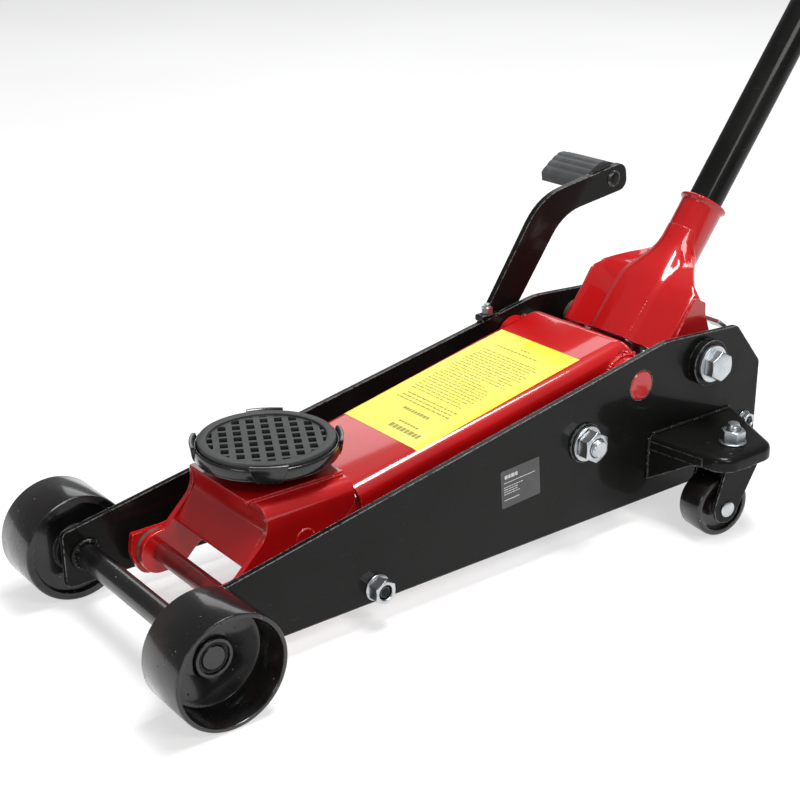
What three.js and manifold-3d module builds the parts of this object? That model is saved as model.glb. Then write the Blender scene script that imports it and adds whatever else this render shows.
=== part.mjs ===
// Hydraulic trolley jack with a foot pedal: low chassis on two cast front wheels and two rear casters,
// parallelogram lift arm under a swivelling saddle, power unit between the side plates.
//
// Millimetres, +Z up, +X forward (towards the front wheels), +Y to the left.
// Sizes are given in the chassis frame: x = 0 at the front axle, y = 0 on the centre plane, z = 0 on
// the floor. At the end the whole jack is shifted so that its origin is the bottom centre of its box.

import * as THREE from "three";
import { mergeVertices } from "three/addons/utils/BufferGeometryUtils.js";
import Module from "manifold-3d";

const wasm = await Module();
wasm.setup();

// ---------------------------------------------------------------------------- driving dimensions

const GAP = 0.3; // between pieces that touch, and round every pin in its hole
const DEG = Math.PI / 180;
const SIDES = { coarse: 16, round: 24, wheel: 36 }; // facets round a circle

const CHASSIS = {
  halfWidth: 86.3, // outer face of a side plate
  plate: 5,
  bottomZ: 19.5,
  frontX: 18.5,
  frontTopZ: 67.5,
  kinkX: -477,
  kinkZ: 163.5,
  rearTopX: -569,
  rearTopZ: 158.5,
  rearX: -602.5,
  chamferZ: 118,
  rearBottomZ: 45,
  rearFootX: -575,
};
const INNER = CHASSIS.halfWidth - CHASSIS.plate; // inner face of a side plate

const WHEEL = {
  r: 45,
  inboardY: CHASSIS.halfWidth + 6.6,
  outboardY: CHASSIS.halfWidth + 56.1,
  lip: 4,
  webY: CHASSIS.halfWidth + 27.2,
  web: 12,
  hubR: 15.5,
  hubY: CHASSIS.halfWidth + 31.1,
  recessR: 12.3,
};
const AXLE = { r: 10, endY: CHASSIS.halfWidth + 30.2 };

const ARM = {
  x: -448, // rear pivot
  z: 130.4,
  slope: 11.53 * DEG, // the top plane falls this much towards the front
  length: 334.5, // rear pivot to front pivot
  topV: 29.9, // top plane above the rear pivot, square to the slope
  frontV: 13.6, // front pivot above the line through the rear pivot, square to the slope
  sheet: 5,
  corner: 13,
  rearHalfWidth: 62.5,
  midHalfWidth: 56.5,
  noseHalfWidth: 50.5, // the end that goes inside the saddle support
  noseLength: 55, // from the front pivot back to where the arm gets wide
  wallBottomV: -6,
  rearU: -20,
  tubeR: 20,
  tubeHalf: INNER - 1.3,
  shaftR: 13,
  noseTubeR: 14,
};
const SHAFT_R = 8; // front pivot, link rod and link bolts

const CRANK = { r: 80, swing: 37.5 * DEG, pinR: 8, eyeR: 14, pinInnerY: 47 };

const LINK = { x: -382.2, z: 95, innerY: 64, thick: 5, eyeR: 19, toeR: 21, halfWidth: 15 };

const SUPPORT = {
  halfWidth: 57.5,
  sheet: 5.5,
  corner: 15,
  topZ: 112,
  rearX: -165,
  frontX: -83,
  capHalf: 43,
  cap: 3.2,
  eyeR: 18,
};

const SADDLE = {
  x: -122.6,
  topZ: 141.4,
  padR: 54.2,
  padThick: 10.1,
  trayR: 57.5,
  tabR: 60.5,
  tabWidth: 28,
  firstTab: -31 * DEG,
  postR: 12,
};

const HANDLE_R = 16;
const HANDLE = {
  r: HANDLE_R,
  wall: 2,
  from: 64,
  splice: 600,
  spliceLength: 40,
  to: 1150,
  gripR: HANDLE_R + 3,
  grip: 140,
};

const SOCKET = {
  x: -527.4,
  z: 134.5,
  lean: 53.4 * DEG, // handle above the horizontal
  cheekY: 66,
  sheet: 4,
  boltR: 9,
  collarR: HANDLE.r + 4,
  lipR: HANDLE.r + 6.8,
  collarFrom: 86,
  collarTo: 140.5,
  shoulder: 47, // where the hood starts to narrow
  rollerArm: 28,
  rollerAngle: 216 * DEG, // direction of the roller from the pivot, from +X towards +Z
  rollerR: 10,
  pinR: 5,
};

const PUMP = { y: 24, lean: 45 * DEG, r: 7, headR: 11, head: 4, spring: 26, springR: 10, bossR: 14 };

const BLOCK = { rearX: -545, frontX: -470, halfWidth: 44, topZ: 82, baseZ: 21, base: 5 };
const CYLINDER = { z: 58, r: 32, frontX: -310, gland: 10, rodR: 12, stroke: 97.4 };
const CROSSHEAD = { rearX: -296, thick: 18, halfWidth: 47.5, bottomZ: 46, topZ: 70 };
const PULL_BAR = { thick: 5.5, bottomZ: 46, topZ: 70, eyeBottomZ: 34, eyeTopZ: 84, eyeHalf: 16, slack: 1.8 };
const RETURN_SPRING = { y: 40.3, r: 6.2 };

const PEDAL = {
  x: -416,
  z: 121,
  innerY: CHASSIS.halfWidth + 2.2,
  thick: 6,
  boltR: 5,
  crank: 20,
  travel: 28 * DEG,
  crankPinR: 4,
  padTo: 152,
  padX: -574,
  padZ: 262,
  stubR: 6,
};
const PEDAL_PUMP = { y: 31, z: 92, r: 5.5, headR: 8, bossR: 11, bossFrom: -530, bossTo: -478, pinX: -558, pinR: 5 };

const BRACKET = {
  topZ: 80,
  sheet: 5,
  frontX: -461,
  rearX: -570,
  outerY: CHASSIS.halfWidth + 80.7,
  lip: 13,
  lipSheet: 4,
  flangeZ: 38.5,
};
const CASTER = {
  x: -507,
  y: CHASSIS.halfWidth + 54.7,
  turn: -8 * DEG,
  trail: 17,
  r: 27.5,
  halfWidth: 13,
  legInner: 15.5,
  leg: 3,
  crownZ: 66,
  crownR: 20,
  studR: 6,
  rivetR: 5,
};

const TIE_FRONT = { x: -163.5, z: 31.7, bodyR: 8.5, threadR: 6, endY: CHASSIS.halfWidth + 10.7 };
const TIE_REAR = { x: -587, z: 63.8, bodyR: 7, threadR: 4, endY: CHASSIS.halfWidth + 8.7 };

// -------------------------------------------------------------------------------------- materials

function paint(colour, roughness, metalness = 0) {
  return new THREE.MeshStandardMaterial({ color: colour, roughness, metalness });
}
const RED = () => paint(0xb80f16, 0.3);
const BLACK = () => paint(0x17181a, 0.35);
const CAST = () => paint(0x101113, 0.4);
const ZINC = () => paint(0xc4c8cb, 0.3, 1);
const STEEL = () => paint(0x8a8d90, 0.35, 1);
const CHROME = () => paint(0xd6d9dc, 0.12, 1);
const RUBBER = () => paint(0x1b1c1d, 0.8);

// ---------------------------------------------------------------------------------- solid helpers

/** A closed three.js geometry as a solid with its faces out. */
function solid(geometry) {
  const bare = geometry.index ? geometry.toNonIndexed() : geometry.clone();
  bare.deleteAttribute("normal");
  bare.deleteAttribute("uv");
  const merged = mergeVertices(bare, 1e-4);
  const corners = merged.index.array;
  const out = [];
  const inside = [];
  for (let i = 0; i < corners.length; i += 3) {
    const [a, b, c] = corners.slice(i, i + 3);
    if (a === b || b === c || c === a) continue;
    out.push(a, b, c);
    inside.push(a, c, b);
  }
  const build = (order) =>
    new wasm.Manifold(
      new wasm.Mesh({
        numProp: 3,
        vertProperties: merged.attributes.position.array,
        triVerts: new Uint32Array(order),
      }),
    );
  const made = build(out);
  return made.volume() > 0 ? made : build(inside);
}

const join = (first, ...others) => others.reduce((sum, other) => sum.add(other), first);
const cut = (first, ...others) => others.reduce((rest, other) => rest.subtract(other), first);

/** A named mesh of a solid, added to a group. */
function part(group, name, shape, material) {
  const { vertProperties, triVerts } = shape.getMesh();
  const geometry = new THREE.BufferGeometry();
  geometry.setAttribute("position", new THREE.BufferAttribute(vertProperties, 3));
  geometry.setIndex(new THREE.BufferAttribute(triVerts, 1));
  const mesh = new THREE.Mesh(geometry, material);
  mesh.name = name;
  group.add(mesh);
  return mesh;
}

/** An outline with rounded corners from [x, y, radius] triples. */
function outline(corners, arcSteps = 3) {
  const points = [];
  corners.forEach(([x, y, r = 0], i) => {
    const here = new THREE.Vector2(x, y);
    const last = corners[(i + corners.length - 1) % corners.length];
    const next = corners[(i + 1) % corners.length];
    const back = new THREE.Vector2(last[0] - x, last[1] - y).normalize();
    const ahead = new THREE.Vector2(next[0] - x, next[1] - y).normalize();
    const half = Math.acos(THREE.MathUtils.clamp(back.dot(ahead), -1, 1)) / 2;
    if (r === 0 || half > 89.5 * DEG) {
      points.push(here);
      return;
    }
    const bisector = back.clone().add(ahead).normalize();
    const centre = here.clone().addScaledVector(bisector, r / Math.sin(half));
    const reach = r / Math.tan(half);
    const start = here.clone().addScaledVector(back, reach).sub(centre);
    const turn = Math.sign(back.cross(ahead)) * -(Math.PI - 2 * half);
    for (let k = 0; k <= arcSteps; k++) {
      const around = start.clone().rotateAround(new THREE.Vector2(), (turn * k) / arcSteps);
      points.push(centre.clone().add(around));
    }
  });
  return new THREE.Shape(points);
}

/** Two circles and the straight sides that touch both, as a link's outline. */
function linkOutline([ax, ay, ar], [bx, by, br], arcSteps = 8) {
  const along = Math.atan2(by - ay, bx - ax);
  const lean = Math.acos((ar - br) / Math.hypot(bx - ax, by - ay));
  const points = [];
  for (let k = 0; k <= arcSteps; k++) {
    const turn = along + lean + ((2 * Math.PI - 2 * lean) * k) / arcSteps;
    points.push(new THREE.Vector2(ax + ar * Math.cos(turn), ay + ar * Math.sin(turn)));
  }
  for (let k = 0; k <= arcSteps; k++) {
    const turn = along - lean + (2 * lean * k) / arcSteps;
    points.push(new THREE.Vector2(bx + br * Math.cos(turn), by + br * Math.sin(turn)));
  }
  return new THREE.Shape(points);
}

const extrude = (shape, depth) => new THREE.ExtrudeGeometry(shape, { depth, bevelEnabled: false });

/** An (x, z) outline, solid between two values of y. */
function prismY(shape, y0, y1) {
  const [low, high] = y0 < y1 ? [y0, y1] : [y1, y0];
  return solid(extrude(shape, high - low).rotateX(Math.PI / 2).translate(0, high, 0));
}

/** An (x, y) outline, solid between two values of z. */
function prismZ(shape, z0, z1) {
  return solid(extrude(shape, z1 - z0).translate(0, 0, z0));
}

/** A (y, z) outline, solid between two values of x. */
function prismX(shape, x0, x1) {
  const turn = new THREE.Matrix4().makeBasis(
    new THREE.Vector3(0, 1, 0),
    new THREE.Vector3(0, 0, 1),
    new THREE.Vector3(1, 0, 0),
  );
  return solid(extrude(shape, x1 - x0).applyMatrix4(turn).translate(x0, 0, 0));
}

function box([x0, x1], [y0, y1], [z0, z1]) {
  const geometry = new THREE.BoxGeometry(x1 - x0, y1 - y0, z1 - z0);
  return solid(geometry.translate((x0 + x1) / 2, (y0 + y1) / 2, (z0 + z1) / 2));
}

const lathe = (profile, sides) =>
  new THREE.LatheGeometry(profile.map(([r, h]) => new THREE.Vector2(r, h)), sides);

/** [radius, y] profile turned about the line through (x, z) along Y. */
const turnedY = (profile, x, z, sides = SIDES.round) => solid(lathe(profile, sides).translate(x, 0, z));

/** [radius, z] profile turned about the upright through (x, y). */
const turnedZ = (profile, x, y, sides = SIDES.round) =>
  solid(lathe(profile, sides).rotateX(Math.PI / 2).translate(x, y, 0));

/** [radius, x] profile turned about the line through (y, z) along X. */
const turnedX = (profile, y, z, sides = SIDES.round) =>
  solid(lathe(profile, sides).rotateZ(-Math.PI / 2).translate(0, y, z));

const rod = (r, from, to) => [[0, from], [r, from], [r, to], [0, to]];
const tube = (outer, inner, from, to) => [[inner, from], [outer, from], [outer, to], [inner, to], [inner, from]];

const rodY = (r, y0, y1, x, z, sides) => turnedY(rod(r, Math.min(y0, y1), Math.max(y0, y1)), x, z, sides);

/** A hexagon prism along Y, by its size across flats, with an optional bore. */
function hexY(across, y0, y1, x, z, bore = 0) {
  const hexagon = rodY(across / Math.sqrt(3), y0, y1, x, z, 6);
  const past = Math.sign(y1 - y0);
  return bore ? cut(hexagon, rodY(bore, y0 - past, y1 + past, x, z, SIDES.coarse)) : hexagon;
}

/** Rings of equal point counts joined into a solid; the end rings are capped. */
function loft(rings) {
  const count = rings[0].length;
  const positions = rings.flat().flatMap((p) => [p.x, p.y, p.z]);
  const order = [];
  for (let r = 0; r + 1 < rings.length; r++) {
    for (let k = 0; k < count; k++) {
      const a = r * count + k;
      const b = r * count + ((k + 1) % count);
      order.push(a, b, b + count, a, b + count, a + count);
    }
  }
  const capOf = (ring) => {
    const normal = new THREE.Vector3();
    ring.forEach((p, k) => normal.add(p.clone().cross(ring[(k + 1) % count])));
    const flat = new THREE.Quaternion().setFromUnitVectors(normal.normalize(), new THREE.Vector3(0, 0, 1));
    const contour = ring.map((p) => p.clone().applyQuaternion(flat));
    return THREE.ShapeUtils.triangulateShape(contour.map((p) => new THREE.Vector2(p.x, p.y)), []);
  };
  const last = (rings.length - 1) * count;
  capOf(rings[0]).forEach(([a, b, c]) => order.push(a, c, b));
  capOf(rings[rings.length - 1]).forEach(([a, b, c]) => order.push(last + a, last + b, last + c));
  const geometry = new THREE.BufferGeometry();
  geometry.setAttribute("position", new THREE.BufferAttribute(new Float32Array(positions), 3));
  geometry.setIndex(order);
  return solid(geometry);
}

const SIDE = { left: 1, right: -1 };
const bothSides = (make) => Object.entries(SIDE).forEach(([name, side]) => make(name, side));

// ------------------------------------------------------------------------------- linkage geometry

// Arm frame: u along the top plane towards the front, v square to it, origin at the rear pivot.
const noseU = Math.sqrt(ARM.length ** 2 - ARM.frontV ** 2);
const nose = new THREE.Vector2(noseU, ARM.frontV).rotateAround(new THREE.Vector2(), -ARM.slope);
const FRONT_PIVOT = { x: ARM.x + nose.x, z: ARM.z + nose.y };
const LINK_ROD = { x: LINK.x + nose.x, z: LINK.z + nose.y }; // closes the parallelogram
const crankDown = -Math.PI / 2 - CRANK.swing;
const CRANK_PIN = { x: ARM.x + CRANK.r * Math.cos(crankDown), z: ARM.z + CRANK.r * Math.sin(crankDown) };

const jack = new THREE.Group();
const group = () => jack.add(new THREE.Group()).children.at(-1);

// ----------------------------------------------------------------------------------------- chassis

function sidePlate(side) {
  const c = CHASSIS;
  const sheet = prismY(
    outline([
      [c.frontX, c.bottomZ, 5],
      [c.frontX, c.frontTopZ, 5],
      [c.kinkX, c.kinkZ, 60],
      [c.rearTopX, c.rearTopZ, 6],
      [c.rearX, c.chamferZ, 6],
      [c.rearX, c.rearBottomZ, 6],
      [c.rearFootX, c.bottomZ, 10],
    ]),
    side * INNER,
    side * c.halfWidth,
  );
  const hole = (r, x, z) => rodY(r + GAP, side * (INNER - 1), side * (c.halfWidth + 1), x, z);
  const drilled = cut(
    sheet,
    hole(AXLE.r, 0, WHEEL.r),
    hole(TIE_FRONT.threadR, TIE_FRONT.x, TIE_FRONT.z),
    hole(TIE_REAR.threadR, TIE_REAR.x, TIE_REAR.z),
    hole(SHAFT_R, LINK.x, LINK.z),
    hole(ARM.shaftR, ARM.x, ARM.z),
    hole(SOCKET.boltR, SOCKET.x, SOCKET.z),
  );
  if (side === SIDE.left) return drilled;
  const reach = PEDAL_PUMP.pinR + 2 * GAP;
  const slot = linkOutline(
    [PEDAL_PUMP.pinX, PEDAL_PUMP.z, reach + 0.01],
    [PEDAL_PUMP.pinX + PEDAL.crank * PEDAL.travel, PEDAL_PUMP.z, reach],
  );
  return cut(drilled, hole(PEDAL.boltR, PEDAL.x, PEDAL.z), prismY(slot, side * (INNER - 1), side * (c.halfWidth + 1)));
}

function casterBracket(side) {
  const b = BRACKET;
  const rootY = CHASSIS.halfWidth + GAP;
  const taper = 9; // the front edge leans back by this much
  const shelfCorners = (inset) => [
    [b.frontX - inset, rootY - (inset ? 5 : 0), 0],
    [b.frontX - taper - inset, b.outerY - inset, 18 - inset],
    [b.rearX + 38 + inset, b.outerY - inset, 20 - inset],
    [b.rearX + inset, rootY - (inset ? 5 : 0), 0],
  ];
  const mirrored = (corners) => outline(corners.map(([x, y, r]) => [x, side * y, r]), 4);
  const shelf = prismZ(mirrored(shelfCorners(0)), b.topZ - b.sheet, b.topZ);
  const skirt = cut(
    prismZ(mirrored(shelfCorners(0)), b.topZ - b.lip, b.topZ - b.sheet / 2),
    prismZ(mirrored(shelfCorners(b.lipSheet)), b.topZ - b.lip - 1, b.topZ),
  );
  const flange = loft(
    [0, b.lipSheet].map((inward) =>
      [
        [0, b.flangeZ],
        [44, b.topZ - b.lip - 2],
        [56, b.topZ - b.lip + 1],
        [56, b.topZ - b.sheet / 2],
        [0, b.topZ - b.sheet / 2],
      ].map(([out, z]) => {
        const x = b.frontX - (taper * out) / (b.outerY - rootY) - inward;
        return new THREE.Vector3(x, side * (rootY + out), z);
      }),
    ),
  );
  const studHole = turnedZ(rod(CASTER.studR + 0.5, b.topZ - 20, b.topZ + 5), CASTER.x, side * CASTER.y);
  return cut(join(shelf, skirt, flange), studHole);
}

function tieRod({ x, z, bodyR, threadR, endY }) {
  const shoulder = INNER - GAP;
  return turnedY(
    [[0, -endY], [threadR, -endY], [threadR, -shoulder], [bodyR, -shoulder],
      [bodyR, shoulder], [threadR, shoulder], [threadR, endY], [0, endY]],
    x,
    z,
  );
}

/** A hexagon nut with a flange against the side plate. */
function flangeNut({ x, z, threadR }, across, height, side) {
  const seat = CHASSIS.halfWidth + GAP;
  const flange = rodY(across * 0.62, side * seat, side * (seat + 2), x, z);
  const bore = rodY(threadR + GAP, side * (seat - 1), side * (seat + height + 1), x, z, SIDES.coarse);
  return cut(join(flange, hexY(across, side * seat, side * (seat + height), x, z)), bore);
}

function powerUnitBlock() {
  const b = BLOCK;
  const low = b.baseZ + b.base + GAP;
  const body = prismX(
    outline([[-b.halfWidth, low, 3], [b.halfWidth, low, 3], [b.halfWidth, b.topZ, 6], [-b.halfWidth, b.topZ, 6]]),
    b.rearX,
    b.frontX,
  );
  const boss = pumpAxisSolid(rod(PUMP.bossR, PUMP.head + PUMP.spring, PUMP.head + PUMP.spring + 30));
  const bore = pumpAxisSolid(rod(PUMP.r + GAP, PUMP.head + PUMP.spring - 1, PUMP.head + PUMP.spring + 32));
  const p = PEDAL_PUMP;
  const pedalBoss = join(
    turnedX(rod(p.bossR, p.bossFrom, p.bossTo), -p.y, p.z),
    box([p.bossFrom, p.bossTo], [-p.y - p.bossR, -p.y + p.bossR], [b.topZ - 5, p.z]),
  );
  const pedalBore = turnedX(rod(p.r + GAP, p.bossFrom - 1, p.bossTo - 8), -p.y, p.z, SIDES.coarse);
  const valveBore = turnedZ(rod(RELEASE.r + GAP, b.topZ - 16, b.topZ + 1), SOCKET.x, 0, SIDES.coarse);
  return cut(join(body, boss, pedalBoss), bore, pedalBore, valveBore);
}

/** A [radius, distance] profile along the pump's axis, measured from the plunger's face. */
function pumpAxisSolid(profile, sides) {
  const rollerX = SOCKET.x + SOCKET.rollerArm * Math.cos(SOCKET.rollerAngle);
  const rollerZ = SOCKET.z + SOCKET.rollerArm * Math.sin(SOCKET.rollerAngle);
  const reach = SOCKET.rollerR + 2 * GAP;
  const geometry = lathe(profile, sides ?? SIDES.round)
    .rotateZ(-Math.PI / 2)
    .rotateY(PUMP.lean)
    .translate(rollerX + reach * Math.cos(PUMP.lean), PUMP.y, rollerZ - reach * Math.sin(PUMP.lean));
  return solid(geometry);
}

const RELEASE = { r: 4.7, cupR: 9, cupZ: 118, rimZ: 131, ballR: 6 };

const chassis = group();
bothSides((name, side) => {
  part(chassis, `side_plate_${name}`, sidePlate(side), BLACK());
  part(chassis, `caster_bracket_${name}`, casterBracket(side), BLACK());
  part(chassis, `front_tie_nut_${name}`, flangeNut(TIE_FRONT, 18, 12, side), ZINC());
  part(chassis, `rear_tie_nut_${name}`, flangeNut(TIE_REAR, 13, 7.5, side), ZINC());

  const seat = CHASSIS.halfWidth + GAP;
  const boltHead = LINK.innerY - GAP;
  const linkBolt = join(
    hexY(24, side * (boltHead - 7), side * boltHead, LINK.x, LINK.z),
    rodY(SHAFT_R, side * (boltHead - 1), side * (seat + 20), LINK.x, LINK.z),
  );
  part(chassis, `link_bolt_${name}`, linkBolt, ZINC());
  const nut = hexY(24, side * (seat + 3), side * (seat + 16), LINK.x, LINK.z, SHAFT_R + GAP);
  part(chassis, `link_nut_${name}`, nut, ZINC());

  const collarTop = seat + 7.6;
  const collar = turnedY(
    tube(21, SOCKET.boltR + GAP, Math.min(side * seat, side * collarTop), Math.max(side * seat, side * collarTop)),
    SOCKET.x,
    SOCKET.z,
  );
  part(chassis, `socket_collar_${name}`, collar, BLACK());
  const headSeat = collarTop + 3.3;
  const socketBolt = join(
    hexY(24, side * headSeat, side * (headSeat + 10), SOCKET.x, SOCKET.z),
    rodY(SOCKET.boltR, side * (SOCKET.cheekY - SOCKET.sheet - 4), side * (headSeat + 1), SOCKET.x, SOCKET.z),
  );
  part(chassis, `socket_bolt_${name}`, socketBolt, ZINC());

  const nutZ = BRACKET.topZ + GAP;
  const casterNut = cut(
    join(
      turnedZ(rod(12, nutZ, nutZ + 2), CASTER.x, side * CASTER.y),
      turnedZ(rod(19 / Math.sqrt(3), nutZ, nutZ + 12), CASTER.x, side * CASTER.y, 6),
    ),
    turnedZ(rod(CASTER.studR + GAP, nutZ - 1, nutZ + 13), CASTER.x, side * CASTER.y, SIDES.coarse),
  );
  part(chassis, `caster_nut_${name}`, casterNut, ZINC());
});

part(chassis, "front_axle", rodY(AXLE.r, -AXLE.endY, AXLE.endY, 0, WHEEL.r), BLACK());
part(chassis, "front_tie_rod", tieRod(TIE_FRONT), BLACK());
part(chassis, "rear_tie_rod", tieRod(TIE_REAR), BLACK());

const basePlate = box(
  [BLOCK.rearX - 15, BLOCK.frontX + 5],
  [-(INNER - GAP), INNER - GAP],
  [BLOCK.baseZ, BLOCK.baseZ + BLOCK.base],
);
part(chassis, "base_plate", basePlate, BLACK());
part(chassis, "power_unit_block", powerUnitBlock(), BLACK());

const cylinder = cut(
  turnedX(rod(CYLINDER.r, BLOCK.frontX + GAP, CYLINDER.frontX), 0, CYLINDER.z),
  turnedX(rod(CYLINDER.rodR + 1.5, BLOCK.frontX + 20, CYLINDER.frontX + 1), 0, CYLINDER.z),
);
part(chassis, "reservoir_cylinder", cylinder, BLACK());
const glandX = CYLINDER.frontX + GAP;
const gland = turnedX(tube(26, CYLINDER.rodR + GAP, glandX, glandX + CYLINDER.gland), 0, CYLINDER.z);
part(chassis, "ram_gland", gland, STEEL());

const pedalBolt = join(
  rodY(PEDAL.boltR, -(INNER + 1), -(PEDAL.innerY + PEDAL.thick + 2), PEDAL.x, PEDAL.z, SIDES.coarse),
  hexY(16, -(PEDAL.innerY + PEDAL.thick + GAP), -(PEDAL.innerY + PEDAL.thick + 6.5), PEDAL.x, PEDAL.z),
);
part(chassis, "pedal_bolt", pedalBolt, ZINC());

// ------------------------------------------------------------------------------------ front wheels

/** Cast wheel: [radius, distance from the centre plane] turned about the axle. */
function frontWheel(side) {
  const w = WHEEL;
  const profile = [
    [AXLE.r + GAP, w.inboardY],
    [w.hubR + 4, w.inboardY],
    [w.hubR + 5, w.inboardY + 4],
    [w.r - 7, w.inboardY + 4],
    [w.r - 6, w.inboardY],
    [w.r - 1, w.inboardY],
    [w.r, w.inboardY + 1],
    [w.r, w.outboardY - 1],
    [w.r - 1, w.outboardY],
    [w.r - w.lip, w.outboardY],
    [w.r - w.lip - 2, w.webY + 4],
    [w.r - w.lip - 5, w.webY],
    [w.hubR + 1, w.webY],
    [w.hubR, w.hubY],
    [w.recessR, w.hubY],
    [w.recessR, w.webY],
    [AXLE.r + GAP, w.webY],
    [AXLE.r + GAP, w.inboardY],
  ];
  return turnedY(profile.map(([r, y]) => [r, side * y]), 0, w.r, SIDES.wheel);
}
bothSides((name, side) => part(group(), `front_wheel_${name}`, frontWheel(side), CAST()));

// ---------------------------------------------------------------------------------------- lift arm

/** Closed section across the arm at u: a bar with rounded upper corners. */
function armRing(u, halfWidth, topV, bottomV, corner) {
  const ring = [[-halfWidth, bottomV]];
  for (let k = 0; k <= 5; k++) {
    const a = (k / 5) * (Math.PI / 2);
    ring.push([-halfWidth + corner * (1 - Math.cos(a)), topV - corner * (1 - Math.sin(a))]);
  }
  const mirror = ring.map(([y, v]) => [-y, v]).reverse();
  return [...ring, ...mirror].map(([y, v]) => new THREE.Vector3(u, y, v));
}

function liftArm() {
  const a = ARM;
  const wideEnd = noseU - a.noseLength;
  const bar = (inset) => {
    const ring = (u, halfWidth) =>
      armRing(u, halfWidth - inset, a.topV - inset, -60, a.corner - inset);
    return {
      wide: loft([ring(a.rearU - 5, a.rearHalfWidth), ring(60, a.rearHalfWidth), ring(wideEnd, a.midHalfWidth)]),
      nose: loft([ring(wideEnd - 20, a.noseHalfWidth), ring(noseU + 30, a.noseHalfWidth)]),
    };
  };
  const skin = bar(0);
  const hollow = bar(a.sheet);
  const noseEnd = noseU + a.noseTubeR;
  const profile = (inset, bottomV) =>
    outline([
      [a.rearU + inset, bottomV, 0],
      [a.rearU + inset, a.topV - inset, 15 - inset],
      [noseEnd + (inset ? 20 : 0), a.topV - inset, inset ? 0 : 14],
      [noseEnd + (inset ? 20 : 0), inset ? bottomV : a.frontV - a.noseTubeR, inset ? 0 : 14],
      [60, bottomV, 0],
    ]);
  const outer = join(skin.wide, skin.nose).intersect(prismY(profile(0, a.wallBottomV), -90, 90));
  const cavity = join(hollow.wide, hollow.nose).intersect(prismY(profile(a.sheet, -50), -90, 90));

  const pinAngle = crankDown + a.slope;
  const pinU = CRANK.r * Math.cos(pinAngle);
  const pinV = CRANK.r * Math.sin(pinAngle);
  const lug = (side) =>
    join(
      prismY(
        linkOutline([0, 0, a.tubeR], [pinU, pinV, CRANK.eyeR]),
        side * (a.rearHalfWidth - a.sheet),
        side * a.rearHalfWidth,
      ),
      rodY(CRANK.pinR, side * CRANK.pinInnerY, side * (a.rearHalfWidth - 1), pinU, pinV),
    );
  const welded = join(
    cut(outer, cavity),
    rodY(a.tubeR, -a.tubeHalf, a.tubeHalf, 0, 0, 28),
    rodY(a.noseTubeR, -a.noseHalfWidth, a.noseHalfWidth, noseU, a.frontV),
    lug(SIDE.left),
    lug(SIDE.right),
  );
  return cut(
    welded,
    rodY(a.shaftR + GAP, -a.tubeHalf - 1, a.tubeHalf + 1, 0, 0),
    rodY(SHAFT_R + GAP, -a.noseHalfWidth - 1, a.noseHalfWidth + 1, noseU, a.frontV),
  );
}

const arm = group();
arm.position.set(ARM.x, 0, ARM.z);
arm.rotation.y = ARM.slope;
part(arm, "lift_arm", liftArm(), RED());
part(arm, "arm_pivot_shaft", rodY(ARM.shaftR, -CHASSIS.halfWidth - 0.5, CHASSIS.halfWidth + 0.5, 0, 0), RED());

// ---------------------------------------------------------------------------------- saddle support

function saddleSupport() {
  const s = SUPPORT;
  const { x: dx, z: dz } = LINK_ROD;
  const { x: cx, z: cz } = FRONT_PIVOT;
  const cheekOutline = outline([
    [s.rearX, s.topZ, 0],
    [s.frontX, s.topZ, 0],
    [s.frontX - 2, s.topZ - 22, 22],
    [dx - 3, dz + s.eyeR + 1, 8],
    [dx + s.eyeR, dz + s.eyeR, 17],
    [dx + s.eyeR, dz - s.eyeR, 17],
    [dx - s.eyeR, dz - s.eyeR, 12],
    [cx + 12, cz - s.eyeR, 20],
    [cx - 14, cz - s.eyeR, 12],
    [s.rearX, s.topZ - 20, 6],
  ]);
  const section = (inset) => {
    const half = s.halfWidth - inset;
    const top = s.topZ - inset;
    const corner = s.corner - inset;
    return outline([[-half, 0, 0], [-half, top, corner], [half, top, corner], [half, 0, 0]], 5);
  };
  const shell = prismY(cheekOutline, -s.halfWidth, s.halfWidth)
    .intersect(prismX(section(0), s.rearX - 1, dx + 60))
    .subtract(prismX(section(s.sheet), s.rearX - 5, dx + 70));
  const web = prismY(
    outline([
      [s.frontX - 1, s.topZ - 3, 0],
      [s.frontX - 2, s.topZ - 21, 8],
      [LINK_ROD.x - 13.5, s.topZ - 46.5, 0],
      [LINK_ROD.x - 16.8, s.topZ - 48.8, 0],
      [s.frontX - 6.2, s.topZ - 22, 8],
      [s.frontX - 5, s.topZ - 3, 0],
    ]),
    -(s.halfWidth - s.sheet + 0.5),
    s.halfWidth - s.sheet + 0.5,
  );
  const cap = box([s.rearX, s.frontX + 7], [-s.capHalf, s.capHalf], [s.topZ - 1, s.topZ + s.cap]);
  const through = s.halfWidth + 1;
  return cut(
    join(shell, web, cap),
    rodY(SHAFT_R + GAP, -through, through, cx, cz),
    rodY(SHAFT_R + GAP, -through, through, dx, dz),
    turnedZ(rod(SADDLE.postR + GAP, s.topZ - 20, s.topZ + 10), SADDLE.x, 0),
  );
}

/** Shaft along Y with a head or clip outside each cheek. */
function headedShaft(r, grip, headR, head, x, z) {
  const end = grip + head;
  return turnedY(
    [[0, -end], [headR, -end], [headR, -grip], [r, -grip], [r, grip], [headR, grip], [headR, end], [0, end]],
    x,
    z,
  );
}

const support = group();
part(support, "saddle_support", saddleSupport(), RED());
const supportShaft = headedShaft(SHAFT_R, SUPPORT.halfWidth + GAP, 11, 3, FRONT_PIVOT.x, FRONT_PIVOT.z);
part(support, "support_shaft", supportShaft, ZINC());

// ------------------------------------------------------------------------------------------ saddle

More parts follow.
